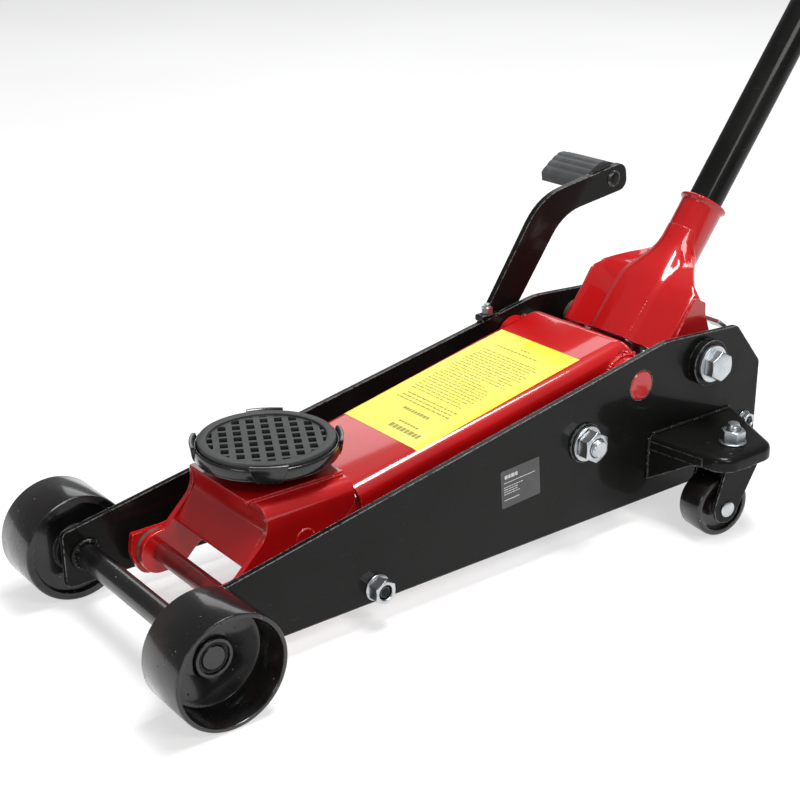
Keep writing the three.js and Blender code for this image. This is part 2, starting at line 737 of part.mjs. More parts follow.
function saddleTray() {
  const s = SADDLE;
  const seat = SUPPORT.topZ + SUPPORT.cap + GAP;
  const floor = s.topZ - s.padThick - GAP;
  const rim = s.topZ - 3.4;
  const dish = turnedZ(
    [
      [0, seat - 16],
      [s.postR, seat - 16],
      [s.postR, seat],
      [26, seat],
      [40, seat + 4.5],
      [s.trayR - 1.5, seat + 11.5],
      [s.trayR, seat + 12.5],
      [s.trayR, rim],
      [s.padR + 0.6, rim],
      [s.padR + 0.6, floor],
      [0, floor],
    ],
    0,
    0,
    SIDES.wheel,
  );
  const wall = turnedZ(tube(s.tabR, s.padR + 0.6, floor - 3, s.topZ - 0.3), 0, 0, SIDES.wheel);
  const tabs = [0, 1, 2, 3].map((quarter) => {
    const width = new THREE.BoxGeometry(20, s.tabWidth, 30).translate(s.trayR, 0, s.topZ - 10);
    return wall.intersect(solid(width.rotateZ(s.firstTab + (quarter * Math.PI) / 2)));
  });
  return join(dish, ...tabs);
}

const saddle = group();
saddle.position.set(SADDLE.x, 0, 0);
part(saddle, "saddle_tray", saddleTray(), CAST());
const padFloor = SADDLE.topZ - SADDLE.padThick;
const pad = turnedZ(
  [
    [0, padFloor],
    [SADDLE.padR, padFloor],
    [SADDLE.padR, SADDLE.topZ],
    [SADDLE.padR - 3.7, SADDLE.topZ],
    [SADDLE.padR - 3.7, SADDLE.topZ - 1.5],
    [0, SADDLE.topZ - 1.5],
  ],
  0,
  0,
  SIDES.wheel,
);
part(saddle, "saddle_pad", pad, RUBBER());

// ------------------------------------------------------------------------------------ radius links

function radiusLink(side) {
  const from = side * LINK.innerY;
  const to = side * (LINK.innerY + LINK.thick);
  const rear = [LINK.x, LINK.z];
  const front = [LINK_ROD.x, LINK_ROD.z];
  const toe = outline([
    [front[0] - 30, front[1] + LINK.halfWidth + 3, 0],
    [front[0] + 19, front[1] + 16, 0],
    [front[0] + 20, front[1], 0],
    [front[0] - 30, front[1], 0],
  ]);
  const blank = join(
    prismY(linkOutline([...rear, LINK.halfWidth + 0.01], [...front, LINK.halfWidth]), from, to),
    rodY(LINK.eyeR, from, to, ...rear, 28),
    rodY(LINK.toeR, from, to, ...front, 28),
    prismY(toe, from, to),
  );
  const bore = (centre) => rodY(SHAFT_R + GAP, from - side, to + side, ...centre);
  return cut(blank, bore(rear), bore(front));
}

const links = group();
bothSides((name, side) => part(links, `radius_link_${name}`, radiusLink(side), RED()));
const linkRod = headedShaft(SHAFT_R, LINK.innerY + LINK.thick + GAP, 11, 3.5, LINK_ROD.x, LINK_ROD.z);
part(links, "link_rod", linkRod, RED());

// ----------------------------------------------------------------------------- ram and return gear

function pullBar(side) {
  const b = PULL_BAR;
  const inner = CROSSHEAD.halfWidth + GAP;
  const frontX = CROSSHEAD.rearX + CROSSHEAD.thick + 4;
  const blank = outline([
    [frontX, b.bottomZ, 5],
    [frontX, b.topZ, 5],
    [CRANK_PIN.x + b.eyeHalf + 16, b.topZ, 8],
    [CRANK_PIN.x + b.eyeHalf, b.eyeTopZ, 5],
    [CRANK_PIN.x - b.eyeHalf, b.eyeTopZ, 8],
    [CRANK_PIN.x - b.eyeHalf, b.eyeBottomZ, 8],
    [CRANK_PIN.x + b.eyeHalf, b.eyeBottomZ, 5],
    [CRANK_PIN.x + b.eyeHalf + 16, b.bottomZ, 8],
  ]);
  const highZ = CRANK_PIN.z;
  const lowZ = ARM.z - CRANK.r; // the pin at the bottom of its arc
  const slotR = CRANK.pinR + b.slack;
  const slot = linkOutline([CRANK_PIN.x, lowZ, slotR + 0.01], [CRANK_PIN.x, highZ, slotR]);
  const [from, to] = [side * inner, side * (inner + b.thick)];
  return cut(prismY(blank, from, to), prismY(slot, from - side, to + side));
}

const ram = group();
const crossheadX = [CROSSHEAD.rearX, CROSSHEAD.rearX + CROSSHEAD.thick];
const crosshead = box(
  crossheadX,
  [-CROSSHEAD.halfWidth, CROSSHEAD.halfWidth],
  [CROSSHEAD.bottomZ, CROSSHEAD.topZ],
);
part(ram, "ram_crosshead", crosshead, STEEL());
const ramRod = turnedX(rod(CYLINDER.rodR, BLOCK.frontX + 25, CROSSHEAD.rearX - GAP), 0, CYLINDER.z);
part(ram, "ram_rod", ramRod, CHROME());
bothSides((name, side) => {
  part(ram, `pull_bar_${name}`, pullBar(side), STEEL());
  const spring = turnedX(
    rod(RETURN_SPRING.r, BLOCK.frontX + 1, CROSSHEAD.rearX - 1),
    side * RETURN_SPRING.y,
    CYLINDER.z,
    SIDES.coarse,
  );
  part(chassis, `return_spring_${name}`, spring, STEEL());
});

// ----------------------------------------------------------------- handle socket, pump and release

// Socket frame: origin at its pivot, Z up along the handle, X square to it on the arm's side.
function socketHood() {
  const s = SOCKET;
  const ring = ([along, halfWidth, edgeN, midN]) => {
    const mid = Math.min(20, halfWidth - 1);
    const face = [[edgeN, -halfWidth], [midN, -mid], [midN, mid], [edgeN, halfWidth]];
    const back = face.map(([n, y]) => [n - s.sheet, y]).reverse();
    return [...face, ...back].map(([n, y]) => new THREE.Vector3(n, y, along));
  };
  return loft(
    [
      [-12, s.cheekY, 30, 36],
      [s.shoulder, s.cheekY, 28, 31],
      [s.collarFrom + 5, s.collarR, HANDLE.r + 3, HANDLE.r + 6.5],
      [s.collarFrom + 16, 11, HANDLE.r + 2.6, HANDLE.r + 5],
    ].map(ring),
  );
}

function socketCheek(side) {
  const s = SOCKET;
  const profile = outline([
    [31, -13, 2],
    [29, s.shoulder, 2],
    [11, s.shoulder + 1, 3],
    [4, 34, 6],
    [-20, 14, 10],
    [-38, 10, 9],
    [-38, -10, 9],
    [-6, -26, 14],
    [16, -24, 10],
  ]);
  return prismY(profile, side * (s.cheekY - s.sheet), side * s.cheekY);
}

function handleSocket() {
  const s = SOCKET;
  const collar = turnedZ(
    [
      [HANDLE.r + GAP, s.collarFrom],
      [s.collarR, s.collarFrom],
      [s.collarR, s.collarTo - 4],
      [s.lipR, s.collarTo - 3],
      [s.lipR, s.collarTo],
      [HANDLE.r + GAP, s.collarTo],
      [HANDLE.r + GAP, s.collarFrom],
    ],
    0,
    0,
    28,
  );
  const lean = Math.PI / 2 - s.lean;
  const rollerTurn = s.rollerAngle - lean;
  const roller = { n: s.rollerArm * Math.cos(rollerTurn), along: s.rollerArm * Math.sin(rollerTurn) };
  const pin = rodY(s.pinR, -(s.cheekY - 1), s.cheekY - 1, roller.n, roller.along, SIDES.coarse);
  const bolts = rodY(s.boltR + GAP, -s.cheekY - 1, s.cheekY + 1, 0, 0);
  return cut(join(socketHood(), socketCheek(SIDE.left), socketCheek(SIDE.right), collar, pin), bolts);
}

const socket = group();
socket.position.set(SOCKET.x, 0, SOCKET.z);
socket.rotation.y = SOCKET.lean - Math.PI / 2;
part(socket, "handle_socket", handleSocket(), RED());

const handleBore = HANDLE.r - HANDLE.wall;
const lowerTube = turnedZ(tube(HANDLE.r, handleBore, HANDLE.from, HANDLE.splice), 0, 0);
part(socket, "handle_lower", lowerTube, BLACK());
const spliceR = handleBore - GAP;
const upperTube = turnedZ(
  [
    [spliceR - HANDLE.wall, HANDLE.splice - HANDLE.spliceLength],
    [spliceR, HANDLE.splice - HANDLE.spliceLength],
    [spliceR, HANDLE.splice + GAP],
    [HANDLE.r, HANDLE.splice + GAP],
    [HANDLE.r, HANDLE.to],
    [spliceR - HANDLE.wall, HANDLE.to],
    [spliceR - HANDLE.wall, HANDLE.splice - HANDLE.spliceLength],
  ],
  0,
  0,
);
part(socket, "handle_upper", upperTube, BLACK());
const gripFrom = HANDLE.to + 5 - HANDLE.grip;
const grip = turnedZ(
  [
    [HANDLE.r + GAP, gripFrom],
    [HANDLE.gripR - 1, gripFrom],
    [HANDLE.gripR, gripFrom + 2],
    [HANDLE.gripR, HANDLE.to + 3],
    [HANDLE.gripR - 3, HANDLE.to + 5],
    [0, HANDLE.to + 5],
    [0, HANDLE.to + GAP],
    [HANDLE.r + GAP, HANDLE.to + GAP],
    [HANDLE.r + GAP, gripFrom],
  ],
  0,
  0,
);
part(socket, "handle_grip", grip, RUBBER());
const driveRod = join(
  solid(new THREE.SphereGeometry(RELEASE.ballR, SIDES.coarse, 8)),
  turnedZ(rod(RELEASE.ballR - 1.5, 0, HANDLE.from + 4), 0, 0, SIDES.coarse),
  turnedZ(rod(handleBore - GAP, HANDLE.from + 3, HANDLE.from + 15), 0, 0),
);
part(socket, "release_drive_rod", driveRod, STEEL());

const rollerX = SOCKET.x + SOCKET.rollerArm * Math.cos(SOCKET.rollerAngle);
const rollerZ = SOCKET.z + SOCKET.rollerArm * Math.sin(SOCKET.rollerAngle);
const rollerFaces = [PUMP.y - 9, PUMP.y + 9];
part(group(), "pump_roller", turnedY(tube(SOCKET.rollerR, SOCKET.pinR + GAP, ...rollerFaces), rollerX, rollerZ), STEEL());

const spindle = cut(
  turnedZ(
    [
      [0, BLOCK.topZ - 14],
      [RELEASE.r, BLOCK.topZ - 14],
      [RELEASE.r, RELEASE.cupZ],
      [RELEASE.cupR, RELEASE.cupZ],
      [RELEASE.cupR, RELEASE.rimZ],
      [0, RELEASE.rimZ],
    ],
    SOCKET.x,
    0,
    SIDES.coarse,
  ),
  turnedZ(rod(RELEASE.ballR + 2 * GAP, RELEASE.rimZ - 5, RELEASE.rimZ + 1), SOCKET.x, 0, SIDES.coarse),
);
part(group(), "release_spindle", spindle, STEEL());

const plunger = pumpAxisSolid(
  [
    [0, 0],
    [PUMP.headR, 0],
    [PUMP.headR, PUMP.head],
    [PUMP.r, PUMP.head],
    [PUMP.r, PUMP.head + PUMP.spring + 12],
    [0, PUMP.head + PUMP.spring + 12],
  ],
);
part(group(), "pump_plunger", plunger, CHROME());
const springGap = 0.5;
const plungerSpring = pumpAxisSolid(
  tube(PUMP.springR, PUMP.r + 0.6, PUMP.head + springGap, PUMP.head + PUMP.spring - springGap),
);
part(chassis, "plunger_spring", plungerSpring, STEEL());

// ------------------------------------------------------------------------------------- foot pedal

const crankRest = -Math.PI / 2 - PEDAL.travel / 2;
const PEDAL_CRANK = {
  x: PEDAL.x + PEDAL.crank * Math.cos(crankRest),
  z: PEDAL.z + PEDAL.crank * Math.sin(crankRest),
};

function pedalArm() {
  const p = PEDAL;
  const from = -p.innerY;
  const to = -(p.innerY + p.thick);
  const bar = outline([
    [p.x + 14, p.z - 12, 10],
    [p.x + 14, p.z + 6, 20],
    [-487.5, 255, 34],
    [-596.5, 273.5, 10],
    [-600, 247, 10],
    [-516, 234.5, 30],
    [p.x - 17, p.z - 3, 8],
    [p.x - 14, p.z - 12, 10],
  ]);
  const lug = linkOutline([p.x, p.z, 12], [PEDAL_CRANK.x, PEDAL_CRANK.z, 7.5]);
  const blank = join(
    prismY(bar, from, to),
    prismY(lug, from, to),
    rodY(p.crankPinR, to + 1, to - 6, PEDAL_CRANK.x, PEDAL_CRANK.z, SIDES.coarse),
    rodY(p.stubR, to + 1, -(p.padTo - 5), p.padX, p.padZ, SIDES.coarse),
  );
  return cut(blank, rodY(p.boltR + GAP, from + 1, to - 1, p.x, p.z));
}

function pedalPad() {
  const p = PEDAL;
  const profile = outline(
    [
      [p.padX - 18, p.padZ - 7, 4],
      [p.padX - 17, p.padZ + 13, 12],
      [p.padX + 8, p.padZ + 14.5, 26],
      [p.padX + 29, p.padZ - 4, 6],
      [p.padX + 28, p.padZ - 14, 4],
    ],
    4,
  );
  const from = -(p.innerY + p.thick + GAP);
  const bore = rodY(p.stubR + GAP, from + 1, -(p.padTo - 4), p.padX, p.padZ, SIDES.coarse);
  return cut(prismY(profile, from, -p.padTo), bore);
}

const pedal = group();
part(pedal, "pedal_arm", pedalArm(), BLACK());
part(pedal, "pedal_pad", pedalPad(), RUBBER());

function pedalPushBar() {
  const p = PEDAL_PUMP;
  const inner = -(PEDAL.innerY + PEDAL.thick + 2 * GAP);
  const outer = inner - 4;
  const bar = prismY(linkOutline([PEDAL_CRANK.x, PEDAL_CRANK.z, 7.5], [p.pinX, p.z, 8]), inner, outer);
  const eye = rodY(PEDAL.crankPinR + 1, inner + 1, outer - 1, PEDAL_CRANK.x, PEDAL_CRANK.z, SIDES.coarse);
  return join(cut(bar, eye), rodY(p.pinR, outer + 1, -(p.y - 12), p.pinX, p.z, SIDES.coarse));
}
part(group(), "pedal_push_bar", pedalPushBar(), BLACK());

const pedalFace = PEDAL_PUMP.pinX + PEDAL_PUMP.pinR + GAP;
const pedalPlunger = turnedX(
  [
    [0, pedalFace],
    [PEDAL_PUMP.headR, pedalFace],
    [PEDAL_PUMP.headR, pedalFace + 3],
    [PEDAL_PUMP.r, pedalFace + 3],
    [PEDAL_PUMP.r, PEDAL_PUMP.bossTo - 22],
    [0, PEDAL_PUMP.bossTo - 22],
  ],
  -PEDAL_PUMP.y,
  PEDAL_PUMP.z,
  SIDES.coarse,
);
part(group(), "pedal_plunger", pedalPlunger, CHROME());

// ---------------------------------------------------------------------------------------- casters

// Caster frame: origin on the floor under the stud, X the way the wheel trails.
function casterFork() {
  const c = CASTER;
  const crown = turnedZ(
    [
      [0, c.crownZ - 4],
      [c.crownR, c.crownZ - 4],
      [c.crownR, c.crownZ],
      [17, c.crownZ + 1],
      [17, BRACKET.topZ - BRACKET.sheet - GAP],
      [c.studR, BRACKET.topZ - BRACKET.sheet - GAP],
      [c.studR, BRACKET.topZ + 18],
      [0, BRACKET.topZ + 18],
    ],
    0,
    0,
  );
  const leg = outline([
    [-15, c.crownZ - 1, 2],
    [19, c.crownZ - 1, 2],
    [c.trail + 10, c.r + 2, 9],
    [c.trail + 2, c.r - 10, 9],
    [c.trail - 9, c.r - 4, 9],
  ]);
  const legs = Object.values(SIDE).map((side) =>
    prismY(leg, side * c.legInner, side * (c.legInner + c.leg)),
  );
  const rivet = headedShaft(c.rivetR, c.legInner + c.leg - 0.5, c.rivetR + 2, 2.5, c.trail, c.r);
  return join(crown, ...legs, rivet);
}

function casterWheel() {
  const c = CASTER;
  const w = c.halfWidth;
  const bore = c.rivetR + GAP;
  const half = [
    [bore, w + 1.5],
    [bore + 4, w + 1.5],
    [bore + 5, w - 5],
    [c.r - 7, w - 5],
    [c.r - 5, w],
    [c.r - 2, w],
    [c.r, w - 2],
  ];
  const mirror = half.map(([r, y]) => [r, -y]).reverse();
  return turnedY([...half, ...mirror, half[0]], c.trail, c.r, 28);
}

bothSides((name, side) => {
  const caster = group();
  caster.position.set(CASTER.x, side * CASTER.y, 0);
  caster.rotation.z = CASTER.turn;
  part(caster, `caster_fork_${name}`, casterFork(), BLACK());
  part(caster, `caster_wheel_${name}`, casterWheel(), CAST());
});

// --------------------------------------------------------------------------------- the whole jack

jack.updateMatrixWorld(true);
const extent = new THREE.Box3().setFromObject(jack, true);
const middle = extent.getCenter(new THREE.Vector3());
jack.position.set(-middle.x, -middle.y, -extent.min.z);

const trolleyJack = new THREE.Group();
trolleyJack.add(jack);

export default trolleyJack;
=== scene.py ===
"""Looks of the hydraulic trolley jack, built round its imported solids.

Pieces are drawn in millimetres in the chassis frame: x = 0 at the front axle, +X forward, y = 0 on
the centre plane, +Y left, z = 0 on the floor. The arm, the socket and the casters have frames of
their own, which the matrices below place.
"""
import math
import random

import bmesh
import bpy
from bpy.props import FloatProperty, FloatVectorProperty, IntProperty, PointerProperty
from mathutils import Matrix, Vector
from mathutils.geometry import tessellate_polygon


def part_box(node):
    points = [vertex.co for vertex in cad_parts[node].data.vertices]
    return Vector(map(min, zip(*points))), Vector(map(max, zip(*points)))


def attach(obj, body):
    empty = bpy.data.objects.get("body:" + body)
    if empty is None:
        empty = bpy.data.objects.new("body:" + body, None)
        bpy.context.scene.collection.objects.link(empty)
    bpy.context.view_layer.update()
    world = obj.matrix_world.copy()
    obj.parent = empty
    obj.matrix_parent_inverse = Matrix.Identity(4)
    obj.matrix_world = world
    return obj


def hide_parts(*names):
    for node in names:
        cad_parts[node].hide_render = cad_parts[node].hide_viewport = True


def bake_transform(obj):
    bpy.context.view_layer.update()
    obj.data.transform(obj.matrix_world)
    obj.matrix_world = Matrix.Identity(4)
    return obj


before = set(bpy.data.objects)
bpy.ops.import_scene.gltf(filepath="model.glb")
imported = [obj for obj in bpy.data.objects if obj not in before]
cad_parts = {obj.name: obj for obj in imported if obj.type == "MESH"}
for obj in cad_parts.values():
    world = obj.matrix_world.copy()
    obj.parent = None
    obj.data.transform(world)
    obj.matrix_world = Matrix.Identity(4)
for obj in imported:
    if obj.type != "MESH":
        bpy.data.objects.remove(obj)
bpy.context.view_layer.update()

bl_info = {
    "name": "Trolley jack",
    "version": (1, 0, 0),
    "blender": (4, 5, 0),
    "location": "View3D > Sidebar > Jack",
    "description": "Builds the visible pieces and finishes of a hydraulic trolley jack",
    "category": "Object",
}

# ---------------------------------------------------------------------------------------- frames

MM = 0.001
SIDES = {"left": 1, "right": -1}


def middle(node):
    low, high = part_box(node)
    return (low + high) / 2


def turn_y(degrees):
    return Matrix.Rotation(math.radians(degrees), 4, "Y")


AXLE_AT = middle("front_axle")
CHASSIS = Matrix.Translation((AXLE_AT.x, 0, 0)) @ Matrix.Scale(MM, 4)
WHEEL_Z = AXLE_AT.z / MM
PIN_GAP = 0.3
ARM_PIVOT = (-448.0, 130.4)
ARM_SLOPE = 11.53
ARM_LENGTH = 334.5
NOSE_V = 13.6
NOSE_U = math.sqrt(ARM_LENGTH**2 - NOSE_V**2)
ARM = CHASSIS @ Matrix.Translation((ARM_PIVOT[0], 0, ARM_PIVOT[1])) @ turn_y(ARM_SLOPE)
LINK_PIVOT = (-382.2, 95.0)
_nose = turn_y(ARM_SLOPE) @ Vector((NOSE_U, 0, NOSE_V))
FRONT_PIVOT = (ARM_PIVOT[0] + _nose.x, ARM_PIVOT[1] + _nose.z)
LINK_ROD = (LINK_PIVOT[0] + _nose.x, LINK_PIVOT[1] + _nose.z)
SOCKET_PIVOT = (-527.4, 134.5)
HANDLE_LEAN = 53.4
SOCKET = CHASSIS @ Matrix.Translation((SOCKET_PIVOT[0], 0, SOCKET_PIVOT[1])) @ turn_y(HANDLE_LEAN - 90)
SADDLE_X = -122.6
SADDLE = CHASSIS @ Matrix.Translation((SADDLE_X, 0, 0))
CASTER_AT = (-507.0, 141.0)
CASTER_TURN = -8.0
CASTER = {
    name: CHASSIS
    @ Matrix.Translation((CASTER_AT[0], side * CASTER_AT[1], 0))
    @ Matrix.Rotation(math.radians(CASTER_TURN), 4, "Z")
    for name, side in SIDES.items()
}
PUMP_Y = 24.0
ROLLER_ARM, ROLLER_ANGLE, ROLLER_R = 28.0, math.radians(216), 10.0
ROLLER_AT = (
    SOCKET_PIVOT[0] + ROLLER_ARM * math.cos(ROLLER_ANGLE),
    SOCKET_PIVOT[1] + ROLLER_ARM * math.sin(ROLLER_ANGLE),
)
PUMP_REACH = (ROLLER_R + 0.6) / math.sqrt(2)
PUMP = (
    CHASSIS
    @ Matrix.Translation((ROLLER_AT[0] + PUMP_REACH, PUMP_Y, ROLLER_AT[1] - PUMP_REACH))
    @ turn_y(135)
)
PLATE_OUT, PLATE_IN = 86.3, 81.3
AXLE_R = 10.0
CRANK_R = 80.0
RAM_Z = 58.0
PEDAL_PIVOT = (-416.0, 121.0)
PEDAL_Y = 88.5
PEDAL_CRANK = (
    PEDAL_PIVOT[0] + 20 * math.cos(math.radians(-104)),
    PEDAL_PIVOT[1] + 20 * math.sin(math.radians(-104)),
)
PEDAL_PIN = (-558.0, 92.0)
PEDAL_PUMP_Y = -31.0
TIE_FRONT = (-163.5, 31.7)
TIE_REAR = (-587.0, 63.8)

# ------------------------------------------------------------------------------------- mesh work


def rounded(corners, step=7.0):
    """Outline with rounded corners from (x, y, radius) triples; step is the degrees of arc per facet."""
    points = []
    count = len(corners)
    for i, corner in enumerate(corners):
        x, y = corner[:2]
        radius = corner[2] if len(corner) > 2 else 0
        here = Vector((x, y))
        back = (Vector(corners[i - 1][:2]) - here).normalized()
        ahead = (Vector(corners[(i + 1) % count][:2]) - here).normalized()
        half = back.angle(ahead) / 2
        if radius <= 0 or half > math.radians(89):
            points.append(here)
            continue
        centre = here + (back + ahead).normalized() * (radius / math.sin(half))
        start = here + back * (radius / math.tan(half)) - centre
        sweep = math.pi - 2 * half
        sign = -1 if back.x * ahead.y - back.y * ahead.x > 0 else 1
        steps = max(1, round(math.degrees(sweep) / step))
        for k in range(steps + 1):
            a = sign * sweep * k / steps
            points.append(centre + Matrix.Rotation(a, 2) @ start)
    return points


def circle(x, y, r, steps=40):
    return [
        Vector((x + r * math.cos(2 * math.pi * k / steps), y + r * math.sin(2 * math.pi * k / steps)))
        for k in range(steps)
    ]


def capsule(a, b, ra, rb, steps=24):
    """Outline round two circles and the sides that touch both."""
    along = math.atan2(b[1] - a[1], b[0] - a[0])
    lean = math.acos((ra - rb) / math.hypot(b[0] - a[0], b[1] - a[1]))
    out = []
    for (x, y), r, first, sweep in (
        (a, ra, along + lean, 2 * math.pi - 2 * lean), (b, rb, along - lean, 2 * lean),
    ):
        for k in range(steps + 1):
            t = first + sweep * k / steps
            out.append(Vector((x + r * math.cos(t), y + r * math.sin(t))))
    return out


AXES = {
    "X": (Vector((0, 1, 0)), Vector((0, 0, 1)), Vector((1, 0, 0))),
    "Y": (Vector((0, 0, 1)), Vector((1, 0, 0)), Vector((0, 1, 0))),
    "Z": (Vector((1, 0, 0)), Vector((0, 1, 0)), Vector((0, 0, 1))),
}
PLANES = {
    "XZ": (Vector((1, 0, 0)), Vector((0, 0, 1)), Vector((0, 1, 0))),
    "XY": (Vector((1, 0, 0)), Vector((0, 1, 0)), Vector((0, 0, 1))),
    "YZ": (Vector((0, 1, 0)), Vector((0, 0, 1)), Vector((1, 0, 0))),
}


class Shape:
    """Closed bodies drawn in one frame, that end as one named piece riding on a body."""

    def __init__(self, place=CHASSIS):
        self.place = place
        self.mesh = bmesh.new()

    def lathe(self, profile, axis="Y", centre=(0, 0, 0), steps=72):
        """(radius, height) profile turned about an axis; its ends lie on the axis or close on each other."""
        a, b, c = AXES[axis]
        centre = Vector(centre)
        rings = []
        for r, h in profile:
            if r < 1e-6:
                rings.append([self.mesh.verts.new(centre + c * h)])
                continue
            ring = []
            for k in range(steps):
                t = 2 * math.pi * k / steps
                ring.append(self.mesh.verts.new(centre + (a * math.cos(t) + b * math.sin(t)) * r + c * h))
            rings.append(ring)
        pairs = list(zip(rings, rings[1:]))
        if len(rings[0]) > 1:
            pairs.append((rings[-1], rings[0]))
        for low, high in pairs:
            for k in range(steps):
                n = (k + 1) % steps
                corners = [low[k % len(low)], low[n % len(low)], high[n % len(high)], high[k % len(high)]]
                corners = [v for i, v in enumerate(corners) if v not in corners[:i]]
                if len(corners) > 2:
                    self.mesh.faces.new(corners)
        return self

    def rod(self, r, low, high, axis="Y", centre=(0, 0, 0), steps=48):
        return self.lathe([(0, low), (r, low), (r, high), (0, high)], axis, centre, steps)

    def ring(self, outer, inner, low, high, axis="Y", centre=(0, 0, 0), steps=56):
        return self.lathe([(inner, low), (outer, low), (outer, high), (inner, high)], axis, centre, steps)

    def prism(self, outline, low, high, plane="XZ", holes=()):
        """A flat outline, with holes, given a thickness across its plane."""
        a, b, c = PLANES[plane]
        loops = [[a * p[0] + b * p[1] for p in loop] for loop in (outline, *holes)]
        flat = [p for loop in loops for p in loop]
        bottom = [self.mesh.verts.new(p + c * low) for p in flat]
        top = [self.mesh.verts.new(p + c * high) for p in flat]
        for tri in tessellate_polygon(loops):
            self.mesh.faces.new([bottom[i] for i in tri])
            self.mesh.faces.new([top[i] for i in reversed(tri)])
        start = 0
        for loop in loops:
            n = len(loop)
            for k in range(n):
                i, j = start + k, start + (k + 1) % n
                self.mesh.faces.new([bottom[i], bottom[j], top[j], top[i]])
            start += n
        return self

    def loft(self, rings, ends=True):
        """Rings of equal point counts joined into a closed body."""
        made = [[self.mesh.verts.new(p) for p in ring] for ring in rings]
        n = len(made[0])
        for low, high in zip(made, made[1:]):
            for k in range(n):
                self.mesh.faces.new([low[k], low[(k + 1) % n], high[(k + 1) % n], high[k]])
        if ends:
            for ring in (made[0], made[-1]):
                for tri in tessellate_polygon([[v.co for v in ring]]):
                    self.mesh.faces.new([ring[i] for i in tri])
        return self

    def sweep(self, points, radius, steps=12, closed=False):
        """A round bar along points; radius is a number or one for each point."""
        radii = radius if isinstance(radius, (list, tuple)) else [radius] * len(points)
        points = [Vector(p) for p in points]
        n = len(points)
        rings, side = [], None
        for i, p in enumerate(points):
            before = points[i - 1] if closed or i else p
            after = points[(i + 1) % n] if closed or i + 1 < n else p
            ahead = (after - before).normalized()
            if side is None:
                side = ahead.orthogonal().normalized()
            side = (side - ahead * side.dot(ahead)).normalized()
            up = ahead.cross(side)
            turns = [2 * math.pi * k / steps for k in range(steps)]
            rings.append([p + (side * math.cos(t) + up * math.sin(t)) * radii[i] for t in turns])
        if closed:
            rings.append(rings[0])
            self.loft(rings, ends=False)
            bmesh.ops.remove_doubles(self.mesh, verts=self.mesh.verts, dist=1e-5)
            return self
        return self.loft(rings)

    def weld(self, points, size=2.2, seed=1, closed=False):
        """A bead of weld metal along points, with its ripples."""
        draw = random.Random(seed)
        dense = []
        points = [Vector(p) for p in points]
        spans = list(zip(points, points[1:] + points[:1] if closed else points[1:]))
        for a, b in spans:
            steps = max(1, round((b - a).length / 1.1))
            dense += [a.lerp(b, k / steps) for k in range(steps)]
        if not closed:
            dense.append(points[-1])
        radii = [
            size * (1 + 0.14 * math.sin(k * 2.1) + draw.uniform(-0.07, 0.07)) for k in range(len(dense))
        ]
        dense = [p + Vector([draw.uniform(-0.12, 0.12) for _ in range(3)]) for p in dense]
        return self.sweep(dense, radii, 10, closed)

    def done(
        self, name, finish, body, slot, hides=(), bevel=0.5, segments=2, limit=32, smooth=40, dissolve=True
    ):
        """Names the piece, rounds its edges, gives it its finish and, when the body is a name, lets it ride
        on that body.

        The body is a name, or two names and the two places between which a spring stretches; those names and
        places are not used, and such a piece stays where it is drawn.
        """
        mesh = self.mesh
        bmesh.ops.remove_doubles(mesh, verts=mesh.verts, dist=1e-4)
        if dissolve:
            bmesh.ops.dissolve_limit(mesh, angle_limit=0.008, verts=mesh.verts, edges=mesh.edges)
        bmesh.ops.recalc_face_normals(mesh, faces=mesh.faces)
        mesh.transform(self.place)
        data = bpy.data.meshes.new(name)
        mesh.to_mesh(data)
        mesh.free()
        data.shade_smooth()
        data.set_sharp_from_angle(angle=math.radians(smooth))
        data.materials.append(finish)
        piece = bpy.data.objects.new(name, data)
        bpy.context.scene.collection.objects.link(piece)
        if bevel:
            edge = piece.modifiers.new("edges", "BEVEL")
            edge.width = bevel * MM
            edge.segments = segments
            edge.limit_method = "ANGLE"
            edge.angle_limit = math.radians(limit)
            edge.miter_outer = "MITER_ARC"
            edge.harden_normals = True
        if isinstance(body, tuple):
            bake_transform(piece)
        else:
            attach(piece, body)
        if hides:
            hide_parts(*hides)
        return piece


def spans(side, low, high):
    """A stretch of y on one side of the jack, lowest first."""
    return sorted((side * low, side * high))


# --------------------------------------------------------------------------------- shader writing


class Value:
    """A shader socket that takes part in Python arithmetic."""

    def __init__(self, finish, socket):
        self.finish = finish
        self.socket = socket

    def _math(self, operation, *others):
        inputs = dict(enumerate((self, *others)))
        return self.finish.node("ShaderNodeMath", {"operation": operation}, inputs)

    def __add__(self, other):
        return self._math("ADD", other)

    __radd__ = __add__

    def __mul__(self, other):
        return self._math("MULTIPLY", other)

    __rmul__ = __mul__

    def __sub__(self, other):
        return self._math("SUBTRACT", other)

    def __rsub__(self, other):
        return self.finish.node("ShaderNodeMath", {"operation": "SUBTRACT"}, {0: other, 1: self})

    def above(self, low, high):
        """0 below low, 1 above high and smooth between."""
        settings = {"interpolation_type": "SMOOTHSTEP", "clamp": True}
        inputs = {"Value": self, "From Min": low, "From Max": high}
        return self.finish.node("ShaderNodeMapRange", settings, inputs)

    def clamped(self):
        return self.finish.node("ShaderNodeClamp", {}, {"Value": self})


